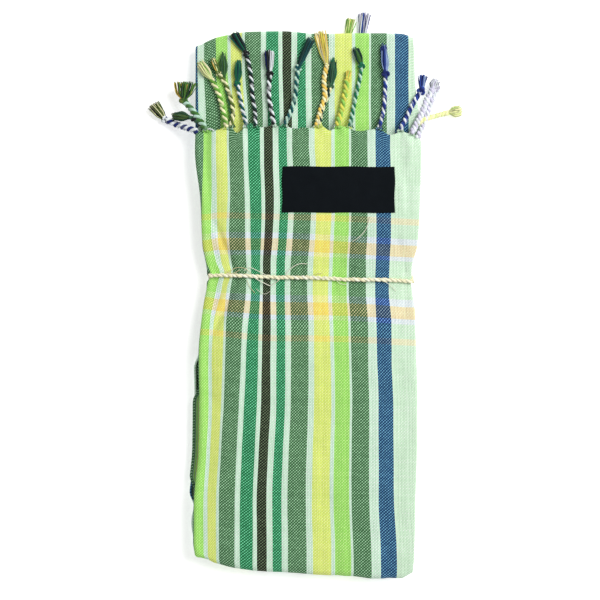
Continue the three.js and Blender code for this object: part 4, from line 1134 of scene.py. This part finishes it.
def two_ply(yarns, line, colours, strand=0.8, pitch=9.7, start=0.0, taper=None, sides=8):
    """Two strands laid round each other along a line."""
    tangent = np.gradient(line, axis=0)
    tangent /= np.linalg.norm(tangent, axis=1, keepdims=True)
    up = np.array([0.0, 0.0, 1.0])
    side = np.cross(tangent, up)
    side /= np.maximum(np.linalg.norm(side, axis=1, keepdims=True), 1e-6)
    top = np.cross(side, tangent)
    s = np.concatenate([[0], np.cumsum(np.linalg.norm(np.diff(line, axis=0), axis=1))])
    wide = np.ones(len(line)) if taper is None else taper(s / s[-1])
    swell = 1 + 0.09 * np.sin(s * 1.9 + start * 3) + 0.07 * np.sin(s * 4.3 + start)
    wander = 0.22 * np.sin(s * 0.9 + start * 5) + 0.14 * np.sin(s * 2.3 + start * 2)
    for k, colour in enumerate(colours):
        a = start + 2 * math.pi * s / pitch + 2 * math.pi * k / len(colours) + wander
        off = strand * 0.92 * wide
        path = line + side * (off * np.cos(a))[:, None] + top * (off * np.sin(a))[:, None] * 0.92
        # the dye varies, and now and then a thread of the other strand shows
        other = DYES[colours[(k + 1) % len(colours)]]
        stray = np.clip(np.sin(s * 0.83 + start * 7 + k * 2.1) * np.sin(s * 0.37 + start * 3) - 0.35, 0, 1)[:, None]
        depth = (1 + 0.12 * np.sin(s * 1.37 + k + start * 4) + 0.08 * np.sin(s * 3.1 + k * 2))[:, None]
        yarns.tube(path, strand * wide * swell, mix(DYES[colour] * depth, other, 0.7 * stray), sides)


def knot(yarns, centre, along, colours, size=1.0, seed=0.0):
    """An overhand knot: a tight three-lobed turn of the cord round a small core."""
    t = np.linspace(0, 2 * math.pi, 44)
    x, y, z = np.sin(t) + 2 * np.sin(2 * t), np.cos(t) - 2 * np.cos(2 * t), -np.sin(3 * t)
    a = math.atan2(along[1], along[0]) + seed
    k = 0.60 * size
    px, py = (x * math.cos(a) - y * math.sin(a)) * k, (x * math.sin(a) + y * math.cos(a)) * k
    path = np.stack([px, py, z * 0.78 * size], -1) + centre
    c0, c1 = DYES[colours[0]], DYES[colours[1 % len(colours)]]
    stripe = (np.sin(t * 3 + seed) > -0.2)[:, None]
    yarns.tube(path, 0.86 * size, np.where(stripe, c0, c1), 8)
    # the core is the cord's colour darkened to 0.7: painted shade inside the knot
    yarns.ball(centre, (1.35 * size, 1.35 * size, 1.15 * size), c0 * 0.7, seed)


def tuft(yarns, start, tip, colours, seed, wide, oval=0.0, floor=None, neck=1.1, thread=0.38, split=False):
    """The cut ends beyond a knot: a thick brush of yarns, with a domed end."""
    rng = np.random.RandomState(seed)
    start, tip = np.asarray(start, float), np.asarray(tip, float)
    d = tip - start
    length = np.linalg.norm(d)
    d = d / length
    side = np.cross(d, [0, 0, 1.0])
    side /= max(np.linalg.norm(side), 1e-6)
    up = np.cross(side, d)
    threads = int(9 + wide * 4.2)
    t = np.linspace(0, 1, 9)
    half = wide / 2 - thread
    if oval > 0:
        grow = (neck + (half - neck) * soft(t / 0.5)) * (1 - oval * soft((t - 0.55) / 0.45))
    else:
        grow = neck + (half - neck) * (0.45 * soft(t / 0.45) + 0.55 * t)
    bow = rng.uniform(-0.6, 0.6)
    for k in range(threads):
        r = math.sqrt((k + 0.5) / threads)
        a = k * 2.39996 + rng.uniform(-0.25, 0.25)
        out, rise = r * math.cos(a), r * math.sin(a)
        own = length * (1 - (0.05 + 0.12 * (oval > 0)) * r * r - rng.uniform(0.0, 0.13))
        bend = rng.uniform(-0.9, 0.9)
        curl = rng.uniform(-1.1, 1.1)
        p = (start + d * (t * own)[:, None] + side * (out * grow + (bend + bow) * t**2 + curl * np.sin(t * 5.0) * 0.3)[:, None]
             + up * (rise * grow * 0.62 + 0.3 * np.sin(t * math.pi))[:, None])
        if floor is not None:
            p[:, 2] = np.maximum(p[:, 2], floor(p[:, 0], p[:, 1]) + thread * (1 + 0.8 * (k % 3)))
        if split:
            colour = colours[0] if out > 0.05 else colours[1 + k % (len(colours) - 1)]
        else:
            colour = colours[int(rng.randint(0, len(colours)))]
        shade = rng.uniform(0.80, 1.22)
        yarns.tube(p, thread * (1 - 0.12 * t) * rng.uniform(0.85, 1.12), DYES[colour] * shade, 5)


# ------------------------------------------------------------------ where the fringes lie
def middle_top(x, y):
    """The surface the front fringe lies on, and the table beyond the bundle's sides."""
    x, y = np.broadcast_arrays(np.asarray(x, float), np.asarray(y, float))
    z = PACKET[2][1](y) + middle_relief(x, y)
    top = END["top"](x)
    z = np.where(y > top - 4.6, z - (y - top + 4.6) ** 2 * 0.12, z)
    left, right = SIDE["left"](y), SIDE["right"](y)
    off = np.maximum(left - x, x - right)
    drop = np.interp(off, [-1.5, 0.5, 3.5, 9, 17, 26, 35], [0, -0.4, -1.6, -5.6, -10.0, -12.5, -13.4])
    beyond = np.where(off > -1.5, drop, 0.0)
    return np.maximum(z + beyond, 0.05)


# name: points in the view's frame from base to knot, tip of the tuft, strand colours,
# tuft colours, height of the base over the fold below it, thickness of a strand,
# turn of the twist, width of the tuft in mm, how oval it is, knot size (0: none)
TASSELS_FRONT = [
    ("t03", [(232, 125), (229.6, 108), (226.5, 92), (224, 78)], (222.6, 51), ("moss", "sage"), ("sage", "sage", "moss"), 1.2, 0.66, 2.2, 7.4, 0.5, 0.6),
    ("t01", [(227, 128), (223.6, 114), (219.2, 96), (211.5, 79)], (198.4, 59.5), ("cream", "leaf"), ("cream", "cream", "pale", "pale", "lime"), 3.4, 1.1, 0.4, 7.8, 0.1, 0.0),
    ("t02", [(231, 126), (233.2, 113), (230.6, 98), (225, 83), (219, 74)], (211.8, 57), ("cream", "olive"), ("gold", "cream", "pale", "olive", "moss"), 3.2, 0.98, 1.4, 5.6, 0.1, 1.0),
    ("t04", [(246.4, 126), (243, 112), (240, 98), (237.4, 85)], (239.6, 58.5), ("teal", "white"), ("green", "green", "teal"), 3.2, 0.98, 0.2, 7.0, 0.45, 1.18),
    ("t05", [(255.5, 126), (255.2, 113), (252.4, 95), (251.4, 80), (248.8, 63), (246.4, 54.5)], (232.6, 32), ("black", "white", "dark"), ("teal", "dark", "green", "teal", "black"), 3.4, 0.90, 2.6, 8.6, 0.0, 1.15),
    ("t06", [(274, 125), (271, 109), (268.8, 94), (269.6, 75)], (269, 49.5), ("black", "white"), ("white", "black", "black", "dark", "navy"), 3.2, 1.08, 1.2, 9.6, 0.0, 1.3),
    ("t07", [(284.6, 125), (290.6, 112), (295.2, 96), (296.4, 82), (297.6, 70)], (311.6, 37), ("teal", "mint"), ("dark", "teal", "green", "dark"), 3.4, 1.06, 0.9, 7.8, 0.0, 1.25),
    ("t09", [(319, 125), (322.4, 110), (327, 98), (330.8, 87)], (334.6, 56.5), ("cream", "dark"), ("sage", "sage", "green", "dark"), 4.2, 0.84, 0.6, 7.4, 0.45, 1.0),
    ("t08", [(316.6, 126), (320.6, 110), (324.8, 96), (324, 80), (326.6, 66)], (319, 29), ("gold", "cream"), ("gold", "gold", "cream", "yellow"), 3.6, 1.12, 2.0, 11.0, 0.0, 0.75),
    ("t10", [(337, 126.5), (341.4, 110), (345, 93), (347.2, 80.5)], (348.4, 70), ("yellow", "lime"), ("gold", "yellow", "lime"), 3.4, 1.22, 1.1, 4.6, 0.0, 1.05),
    ("t11", [(349.8, 126), (353, 110), (356.2, 94), (359.6, 80), (361.4, 67)], (354.4, 46), ("green", "mint"), ("dark", "moss", "dark", "green"), 3.4, 0.98, 2.4, 6.4, 0.2, 1.2),
    ("t12", [(379, 128), (383.6, 110), (385, 92), (385.6, 75)], (383.2, 42.5), ("navy", "white", "blue"), ("blue", "navy", "blue", "sky"), 3.6, 0.94, 0.3, 6.2, 0.15, 1.35),
    ("t13", [(400, 130), (407.6, 115), (415, 100.4), (420.4, 92)], (422.6, 73.5), ("navy", "blue", "white"), ("blue", "navy", "blue", "sky"), 3.4, 1.1, 1.6, 7.4, 0.0, 1.45),
]
TASSELS_RIGHT = [
    ("t14", [(411, 134), (420.6, 116), (427.4, 99), (432.6, 89)], (438, 76.5), ("lilac", "white"), ("lilac", "white", "lilac", "white", "grey"), 3.4, 1.4, 0.4, 8.6, 0.1, 1.1),
    ("t15", [(417, 139), (424.4, 122), (430.4, 106), (435.6, 94)], (441, 83), ("white", "lilac"), ("lilac", "white", "lilac"), 1.8, 1.25, 1.9, 5.4, 0.2, 0.8),
    ("t16", [(417, 124), (427, 118), (440, 113.4), (450, 110.6)], (465, 108.4), ("pale", "cream"), ("pale", "cream", "cream", "lime", "pale"), 0.6, 1.25, 0.9, 9.4, 0.1, 0.0),
]
TASSELS_LEFT = [
    ("t19", [(204, 128), (197, 121), (190, 117.4)], (169.5, 113.6), ("sage", "black"), ("dark", "sage", "olive", "black", "moss"), 1.2, 1.25, 2.0, 8.6, 0.3, 0.0),
    ("t17", [(206, 130), (197.6, 117.4), (190, 107.6), (184.4, 101)], (184, 80.5), ("moss", "mint"), ("moss", "olive", "leaf", "moss", "gold", "dark"), 2.6, 1.4, 0.2, 19.5, 0.0, 1.5),
    ("t18", [(198, 132), (185, 127), (173.6, 122.4), (165, 118.6)], (150.8, 101.4), ("navy", "white"), ("cream", "black", "navy", "white", "olive", "grey"), 0.8, 1.35, 1.2, 11.5, 0.0, 1.25),
]
FAN_WIDTH = 2.7


def tassel(yarns, spec, surface, edge_z, seed, anchors=FLAP_ANCHORS):
    name, points, tip, colours, ends, base_up, strand, turn, wide, oval, knot_size = spec
    flat = spline([(row_x(a), row_y(b)) for a, b in points])
    s = np.concatenate([[0], np.cumsum(np.linalg.norm(np.diff(flat, axis=0), axis=1))])
    rest = surface(flat[:, 0], flat[:, 1]) + strand * 1.78
    z = np.maximum(rest + (edge_z(flat[0, 0], flat[0, 1]) + base_up - 4.0 + 1.1 - rest[0]) * np.exp(-((s / 6.5) ** 2)), rest)
    line = np.concatenate([flat, z[:, None]], 1)
    # a soft line: the height never turns sharply
    for _ in range(3):
        line[1:-1, 2] = (line[:-2, 2] + 2 * line[1:-1, 2] + line[2:, 2]) / 4
    two_ply(yarns, line, colours, strand, 7.5 * (0.94 + 0.12 * math.sin(seed)), turn)
    along = line[-1] - line[-5]
    along = along / np.linalg.norm(along)
    end = line[-1] + along * (1.1 * knot_size)
    if knot_size > 0:
        floor_z = float(surface(end[0], end[1]))
        end[2] = max(end[2], floor_z + 1.6 * knot_size)
        knot(yarns, end, along, colours if seed % 2 else (ends[1], colours[0]), knot_size, seed * 0.7)
    tx, ty = float(row_x(tip[0])), float(row_y(tip[1]))
    tz = float(surface(tx, ty)) + 1.0 + 0.2 * wide
    tuft(yarns, end, (tx, ty, tz), ends, seed, wide, oval, surface, 0.9 + 0.25 * strand, split=name == "t06")
    # the cloth's own warp ends gather into the twist
    bx, by = flat[0]
    count = 11
    for k in range(count):
        f = k / (count - 1) * 2 - 1
        x0 = bx + f * FAN_WIDTH
        y0 = by - 1.0 - 0.9 * abs(f) + 0.3 * math.cos(k * 2.7)
        z0 = float(edge_z(x0, y0)) - 0.1 + (base_up - 3.6)
        mid = line[min(8, len(line) - 1)]
        t = np.linspace(0, 1, 10)[:, None]
        a = np.array([x0, y0, z0])
        b = np.array([mix(x0, bx, 0.62), mix(y0, mid[1], 0.30), mix(z0, line[2][2], 0.5) + 0.7])
        c = line[4] + np.array([f * 0.9, 0.0, 0.3])
        e = mid + np.array([f * 0.7, 0.0, 0.2 - 0.5 * abs(f)])
        p = (1 - t) ** 3 * a + 3 * (1 - t) ** 2 * t * b + 3 * (1 - t) * t**2 * c + t**3 * e
        u = float(chart_at(anchors, np.array(x0), np.array(y0)))
        first = YARNS[yarn_at(u)][0] if k % 4 else YARNS[yarn_at(u)][1]
        last = DYES[colours[k % 2]]
        yarns.tube(p, 0.4 * (1 - 0.3 * t[:, 0]), mix(first, last, t**1.2), 5)


def flap_edge_z(x, y):
    return FACE[4](y) + 0.35


def build_tassels(name, specs, surface, edge_z, seed, slot_of, anchors=FLAP_ANCHORS, extra=None):
    yarns = Yarns()
    for k, spec in enumerate(specs):
        tassel(yarns, spec, surface, edge_z, seed + k * 3 + 1, anchors=anchors)
    if extra:
        extra(yarns)
    return yarns.build(name, FRINGE_YARN)


def frayed_front(yarns):
    """Short loose warp ends along the edge between the twisted ends, and stray ones."""
    rng = np.random.RandomState(77)
    for k in range(110):
        x = rng.uniform(row_x(204), row_x(414))
        edge = float(END["front"](x) + pulled(np.array(x)))
        u = float(chart_at(FLAP_ANCHORS, np.array(x), np.array(edge)))
        z = float(FACE[4](edge) + flap_relief(np.array(x), np.array(edge))) - 0.65
        length = rng.uniform(0.3, 1.1)
        lean = rng.uniform(-0.5, 0.5)
        t = np.linspace(0, 1, 4)
        p = np.stack([x + lean * length * t, edge - 0.5 + length * t, z - 0.5 * t**2 * length], -1)
        yarns.tube(p, 0.17, YARNS[yarn_at(u)][k % 2], 4)
    # a loose white weft end at the left corner
    loose = spline([(row_x(x), row_y(y), 18.7 + h) for x, y, h in
                    [(205, 131, 0), (208, 129.6, 0.3), (211.5, 129.8, 0.4), (214.5, 131.6, 0.2)]], 0.6)
    yarns.tube(loose, 0.45, DYES["white"], 6)


fringe_front = build_tassels("fringe_front_yarns", TASSELS_FRONT, middle_top, flap_edge_z, 100, "fringe", extra=frayed_front)
fringe_left = build_tassels("fringe_left_yarns", TASSELS_LEFT, middle_top, flap_edge_z, 200, "fringe")
fringe_right = build_tassels("fringe_right_yarns", TASSELS_RIGHT, middle_top, flap_edge_z, 300, "fringe")


# The other end's twists lie on the table, below the middle fold. Two reach out past its top.
def table_top(x, y):
    x, y = np.broadcast_arrays(np.asarray(x, float), np.asarray(y, float))
    return np.zeros_like(x) + 0.05


TASSELS_UNDER = [
    ("u01", [(213, 122), (211, 104), (216, 88)], (220, 72), ("sage", "mint"), ("sage", "moss", "mint"), 0, 0.8, 0.2, 5.0, 0.8),
    ("u02", [(229, 121), (232, 102), (228, 84)], (224, 66), ("blue", "white"), ("navy", "sky", "blue"), 0, 0.8, 1.2, 5.0, 0.8),
    ("u03", [(248, 121), (247, 100), (252, 82)], (256, 62), ("mint", "pale"), ("mint", "lilac"), 0, 0.8, 2.2, 5.0, 0.8),
    ("u04", [(265, 120), (269, 101), (268, 83)], (263, 63), ("yellow", "lime"), ("gold", "yellow", "lime"), 0, 0.8, 0.7, 5.0, 0.8),
    ("u05", [(283, 121), (283, 101), (288, 84)], (292, 66), ("green", "mint"), ("green", "teal"), 0, 0.8, 1.7, 5.0, 0.8),
    ("u06", [(301, 121), (305, 102), (303, 82)], (300, 62), ("black", "white"), ("black", "white", "dark"), 0, 0.8, 2.6, 5.0, 0.8),
    ("u07", [(318, 121), (321, 98), (329, 76), (337, 54), (346, 42)], (351.3, 13.6), ("lime", "pale"), ("lime", "pale", "leaf", "yellow"), 0, 0.8, 0.4, 8.6, 0.8),
    ("u08", [(337, 121), (341, 98), (349, 74), (358, 50), (361, 42)], (364.8, 7.6), ("navy", "white"), ("navy", "lilac", "blue", "white"), 0, 0.8, 1.4, 11.0, 0.8),
    ("u09", [(356, 120), (361, 101), (360, 83)], (365, 64), ("teal", "white"), ("teal", "dark", "sky"), 0, 0.8, 2.4, 5.0, 0.8),
    ("u10", [(373, 121), (377, 103), (383, 86)], (388, 70), ("lime", "mint"), ("lime", "leaf", "mint"), 0, 0.8, 0.9, 5.0, 0.8),
    ("u11", [(392, 122), (393, 106), (397, 92)], (401, 78), ("sage", "mint"), ("sage", "dark", "mint"), 0, 0.8, 1.9, 5.0, 0.8),
]


def under_edge_z(x, y):
    return np.zeros(np.shape(x)) + 1.2


yarns = Yarns()
for k, spec in enumerate(TASSELS_UNDER):
    name, points, tip, colours, ends, _, strand, turn, wide, knot_size = spec
    flat = spline([(row_x(a), row_y(b)) for a, b in points])
    line = np.concatenate([flat, np.full((len(flat), 1), strand * 1.9)], 1)
    two_ply(yarns, line, colours, strand, 10.0, turn)
    along = line[-1] - line[-5]
    along = along / np.linalg.norm(along)
    end = line[-1] + along * 0.9
    end[2] = 1.5
    knot(yarns, end, along, colours, knot_size, k * 0.9)
    tuft(yarns, end, (float(row_x(tip[0])), float(row_y(tip[1])), 1.3), ends, 400 + k, wide, 0.0, table_top, 1.0, 0.42)
    bx, by = flat[0]
    for q in range(9):
        f = q / 8 * 2 - 1
        x0 = bx + f * 4.6
        t = np.linspace(0, 1, 8)[:, None]
        a = np.array([x0, by - 1.5, 0.6])
        b = np.array([mix(x0, bx, 0.65), by + 2.2, 0.9])
        c = line[min(6, len(line) - 1)]
        p = (1 - t) ** 2 * a + 2 * (1 - t) * t * b + t**2 * c
        u = float(chart_at(UNDER_ANCHORS, np.array(x0), np.array(by)))
        yarns.tube(p, 0.36 * (1 - 0.3 * t[:, 0]), YARNS[yarn_at(u)][q % 2], 5)
fringe_under = yarns.build("fringe_under_yarns", FRINGE_YARN)

# ------------------------------------------------------------------ the twine
CREAM, STRAW, BONE = lin(250, 246, 212), lin(232, 220, 172), lin(255, 254, 234)
yarns = Yarns()
c = TWINE_RADIUS + TWINE_LIFT
left, right = float(SIDE["left"](WAIST_Y)) + 2.8, float(SIDE["right"](WAIST_Y)) + 0.5
low, high = float(FACE[0](WAIST_Y)) - c, float(FACE[4](WAIST_Y)) + c
r = 3.1
loop = []
for cx, cz, start in ((right - r, high - r, 0.0), (left + r, high - r, 0.5), (left + r, low + r, 1.0), (right - r, low + r, 1.5)):
    for k in range(9):
        a = (start + k / 16) * math.pi
        loop.append((cx + r * math.cos(a), cz + r * math.sin(a)))
loop.append(loop[0])
loop = np.array(loop)
s = np.concatenate([[0], np.cumsum(np.linalg.norm(np.diff(loop, axis=0), axis=1))])
n = int(s[-1] / 0.62)
at = np.linspace(0, s[-1], n + 1)
x, z = np.interp(at, s, loop[:, 0]), np.interp(at, s, loop[:, 1])
centre_x = (left + right) / 2
mid_z = (low + high) / 2
face_way = np.where(z > mid_z, 1.0, -1.0)
y = twine_line(x, face_way * soft(np.abs(z - mid_z) / 6))
centre = np.stack([x, y, z], -1)
tangent = np.roll(centre, -1, 0) - np.roll(centre, 1, 0)
tangent[0] = tangent[-1] = centre[1] - centre[-2]
tangent /= np.linalg.norm(tangent, axis=1, keepdims=True)
wide = np.array([0.0, 1.0, 0.0]) - tangent * tangent[:, 1:2]
wide /= np.linalg.norm(wide, axis=1, keepdims=True)
tall = np.cross(tangent, wide)
TURNS = 43
for k in range(2):
    a = 2 * math.pi * TURNS * at / s[-1] + math.pi * k + 0.5 * np.sin(2 * math.pi * 7 * at / s[-1]) + 0.35 * np.sin(2 * math.pi * 19 * at / s[-1] + 1)
    thin = 1.0 + 0.13 * np.sin(at * 0.31 + k * 2) + 0.10 * np.sin(at * 0.83 + k) + 0.05 * np.sin(at * 2.1 + k)
    path = centre + wide * (0.70 * np.cos(a))[:, None] + tall * (0.50 * np.sin(a))[:, None]
    tone = (0.5 + 0.5 * np.sin(at * 0.13 + k * 1.7))[:, None]
    yarns.tube(path, thin, mix(CREAM, STRAW, 0.5 * tone) if k else mix(BONE, CREAM, tone), 8)
# the knot below, with two short ends
knot_x = -38.0
knot_z = low
knot_y = WAIST_Y - TWINE_TILT * (knot_x - centre_x)
t = np.linspace(0, 2 * math.pi, 60)
for k, (wx, wy, wz, ph) in enumerate([(3.0, 2.0, 0.45, 0.0), (2.2, 2.6, 0.45, 1.3)]):
    path = np.stack([knot_x + wx * np.sin(t + ph) + 0.6 * np.sin(2 * t), knot_y + wy * np.sin(2 * t + ph) * 0.9,
                     knot_z + wz * np.cos(3 * t + ph)], -1)
    yarns.tube(path, 0.8, CREAM if k else BONE, 8)
for way in (1, -1):
    tail = spline([(knot_x + way * 1.0, knot_y + 1.0 * way, knot_z), (knot_x + way * 4.0, knot_y + 2.6 * way, knot_z),
                   (knot_x + way * 8.0, knot_y + 3.4 * way, knot_z), (knot_x + way * 14.5, knot_y + 3.9 * way, knot_z)], 0.7)
    two = [tail + np.array([0, 0.42, 0.0]), tail - np.array([0, 0.42, 0.0])]
    sl = np.arange(len(tail)) * 0.7
    for k in range(2):
        a = 2 * math.pi * sl / 6.0 + math.pi * k
        p = tail + np.stack([0 * a, 0.5 * np.cos(a), 0.42 * np.sin(a)], -1)
        yarns.tube(p, 0.62, CREAM if k else BONE, 7)


def hair(points, width=0.13, tone=BONE, lift=0.0):
    """A loose fibre: points in the view's frame, with a height over the flap."""
    p = []
    for a, b, h in points:
        hx, hy = float(row_x(a)), float(row_y(b))
        p.append((hx, hy, float(FACE[4](hy)) + h + lift))
    path = spline(p, 0.7)
    yarns.tube(path, width, tone, 4)


# the fibres that stand off the twine on the flap
hair([(268.5, 276.5, 2.4), (258, 271, 2.2), (249, 267.5, 1.4), (244, 271, 1.0)], 0.27)
hair([(228, 273, 2.0), (236, 268, 1.6), (245, 268.5, 1.2), (251, 273.5, 2.0)], 0.24, STRAW)
hair([(252, 276, 2.6), (260, 281, 2.0), (270, 286, 1.3)], 0.33)
hair([(270, 286, 1.3), (276, 282.5, 1.6), (281, 278, 2.2)], 0.28)
hair([(286, 275, 2.6), (291, 268.5, 2.2), (299, 264, 1.6), (307, 264, 1.0)], 0.28)
hair([(255, 293, 0.8), (250, 287, 1.0), (247, 280, 1.8)], 0.20, STRAW)
hair([(256, 289, 0.9), (264, 294, 0.8), (271, 291, 1.0)], 0.17)
hair([(224, 270.5, 2.2), (232, 273.5, 2.4), (240, 270, 1.6)], 0.22, STRAW)
hair([(352, 242, 0.8), (358, 238, 1.4), (364, 232, 1.8), (368, 224, 1.5), (370, 217, 0.9)], 0.28)
hair([(334, 278, 2.4), (340, 283.5, 1.6), (347, 285, 1.1)], 0.20)
hair([(384, 281, 2.4), (391, 286, 1.6), (396, 291, 1.1)], 0.22)
hair([(310, 279, 2.4), (316, 274, 1.8), (323, 273, 1.2)], 0.17, STRAW)
# short fuzz all along it
rng = np.random.RandomState(5)
for k in range(640):
    i = rng.randint(0, n)
    a = rng.uniform(0, 2 * math.pi)
    out = wide[i] * math.cos(a) + tall[i] * math.sin(a)
    lean = tangent[i] * rng.uniform(-1.6, 1.6)
    length = rng.uniform(0.5, 1.7)
    t = np.linspace(0, 1, 4)[:, None]
    p = centre[i] + out * 1.25 + (out * length * 0.6 + lean * length) * t + tangent[i] * (t**2) * rng.uniform(-0.6, 0.6)
    p[:, 2] = np.maximum(p[:, 2], 0.15)
    inside = FACE[4](p[:, 1])
    if z[i] > mid_z:
        p[:, 2] = np.maximum(p[:, 2], inside + 0.12)
    else:
        p[:, 2] = np.minimum(p[:, 2], FACE[0](p[:, 1]) - 0.12)
    yarns.tube(p, 0.085, [BONE, BONE, CREAM][k % 3], 3)
twine = yarns.build("twine_tie", TWINE_YARN)

# ------------------------------------------------------------------ what rides on what
ALL = [cloth_front, cloth_middle, cloth_under, cloth_layers, label_cloth, twine,
       fringe_front, fringe_left, fringe_right, fringe_under]
for piece in ALL:
    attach(piece, "root")
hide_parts("front_flap")
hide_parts("middle_fold")
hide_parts("under_flap")
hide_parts("hidden_layers")
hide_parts("label")
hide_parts("tie_twine")
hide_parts("fringe_front")
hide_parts("fringe_left")
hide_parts("fringe_right")
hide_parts("fringe_under")

# ------------------------------------------------------------------ floor, light, camera
floor_mesh = bpy.data.meshes.new("floor")
S = 14.0
floor_mesh.from_pydata([(-S, -S, -0.0004), (S, -S, -0.0004), (S, S, -0.0004), (-S, S, -0.0004)], [], [(0, 1, 2, 3)])
floor = bpy.data.objects.new("floor", floor_mesh)
scene.collection.objects.link(floor)
g = Graph("floor_white")
coords = g.node("ShaderNodeTexCoord")
tone = g.blend(g.noise(coords.outputs["Object"], 3.0, 2.0), (0.93, 0.93, 0.93), (0.95, 0.95, 0.95))
floor_mesh.materials.append(g.finish(tone, g.bump(g.noise(coords.outputs["Object"], 60.0, 2.0), 0.02, 0.001), 0.9, specular=0.1, glow=0.49))

world = bpy.data.worlds.new("studio")
scene.world = world
world.use_nodes = True
world.node_tree.nodes["Background"].inputs[0].default_value = (1.0, 1.0, 1.0, 1.0)
world.node_tree.nodes["Background"].inputs[1].default_value = 0.43


def lamp(name, place, aim, size, power, colour=(1, 1, 1)):
    data = bpy.data.lights.new(name, "AREA")
    data.shape = "DISK"
    data.size = size
    data.energy = power
    data.color = colour
    o = bpy.data.objects.new(name, data)
    o.location = place
    o.rotation_euler = (Vector(aim) - Vector(place)).to_track_quat("-Z", "Y").to_euler()
    scene.collection.objects.link(o)
    return o


lamp("key", (1.30, 0.76, 1.70), (0.0, 0.0, 0.0), 1.5, 45.0)

camera_data = bpy.data.cameras.new("camera")
camera_data.lens = 84.6
camera_data.sensor_width = 36.0
camera_data.clip_end = 20.0
camera = bpy.data.objects.new("camera", camera_data)
camera.location = (-0.0043, -0.0004, 0.015 + 1.1)
camera.rotation_euler = (0.0, 0.0, 0.0)
scene.collection.objects.link(camera)
scene.camera = camera
scene.view_settings.view_transform = "Standard"
scene.view_settings.look = "None"
scene.view_settings.exposure = 0.0
scene.view_settings.gamma = 1.0

# the weave is finer than the denoiser's own smoothing, so its guides are used as they are
scene.cycles.denoising_prefilter = "NONE"
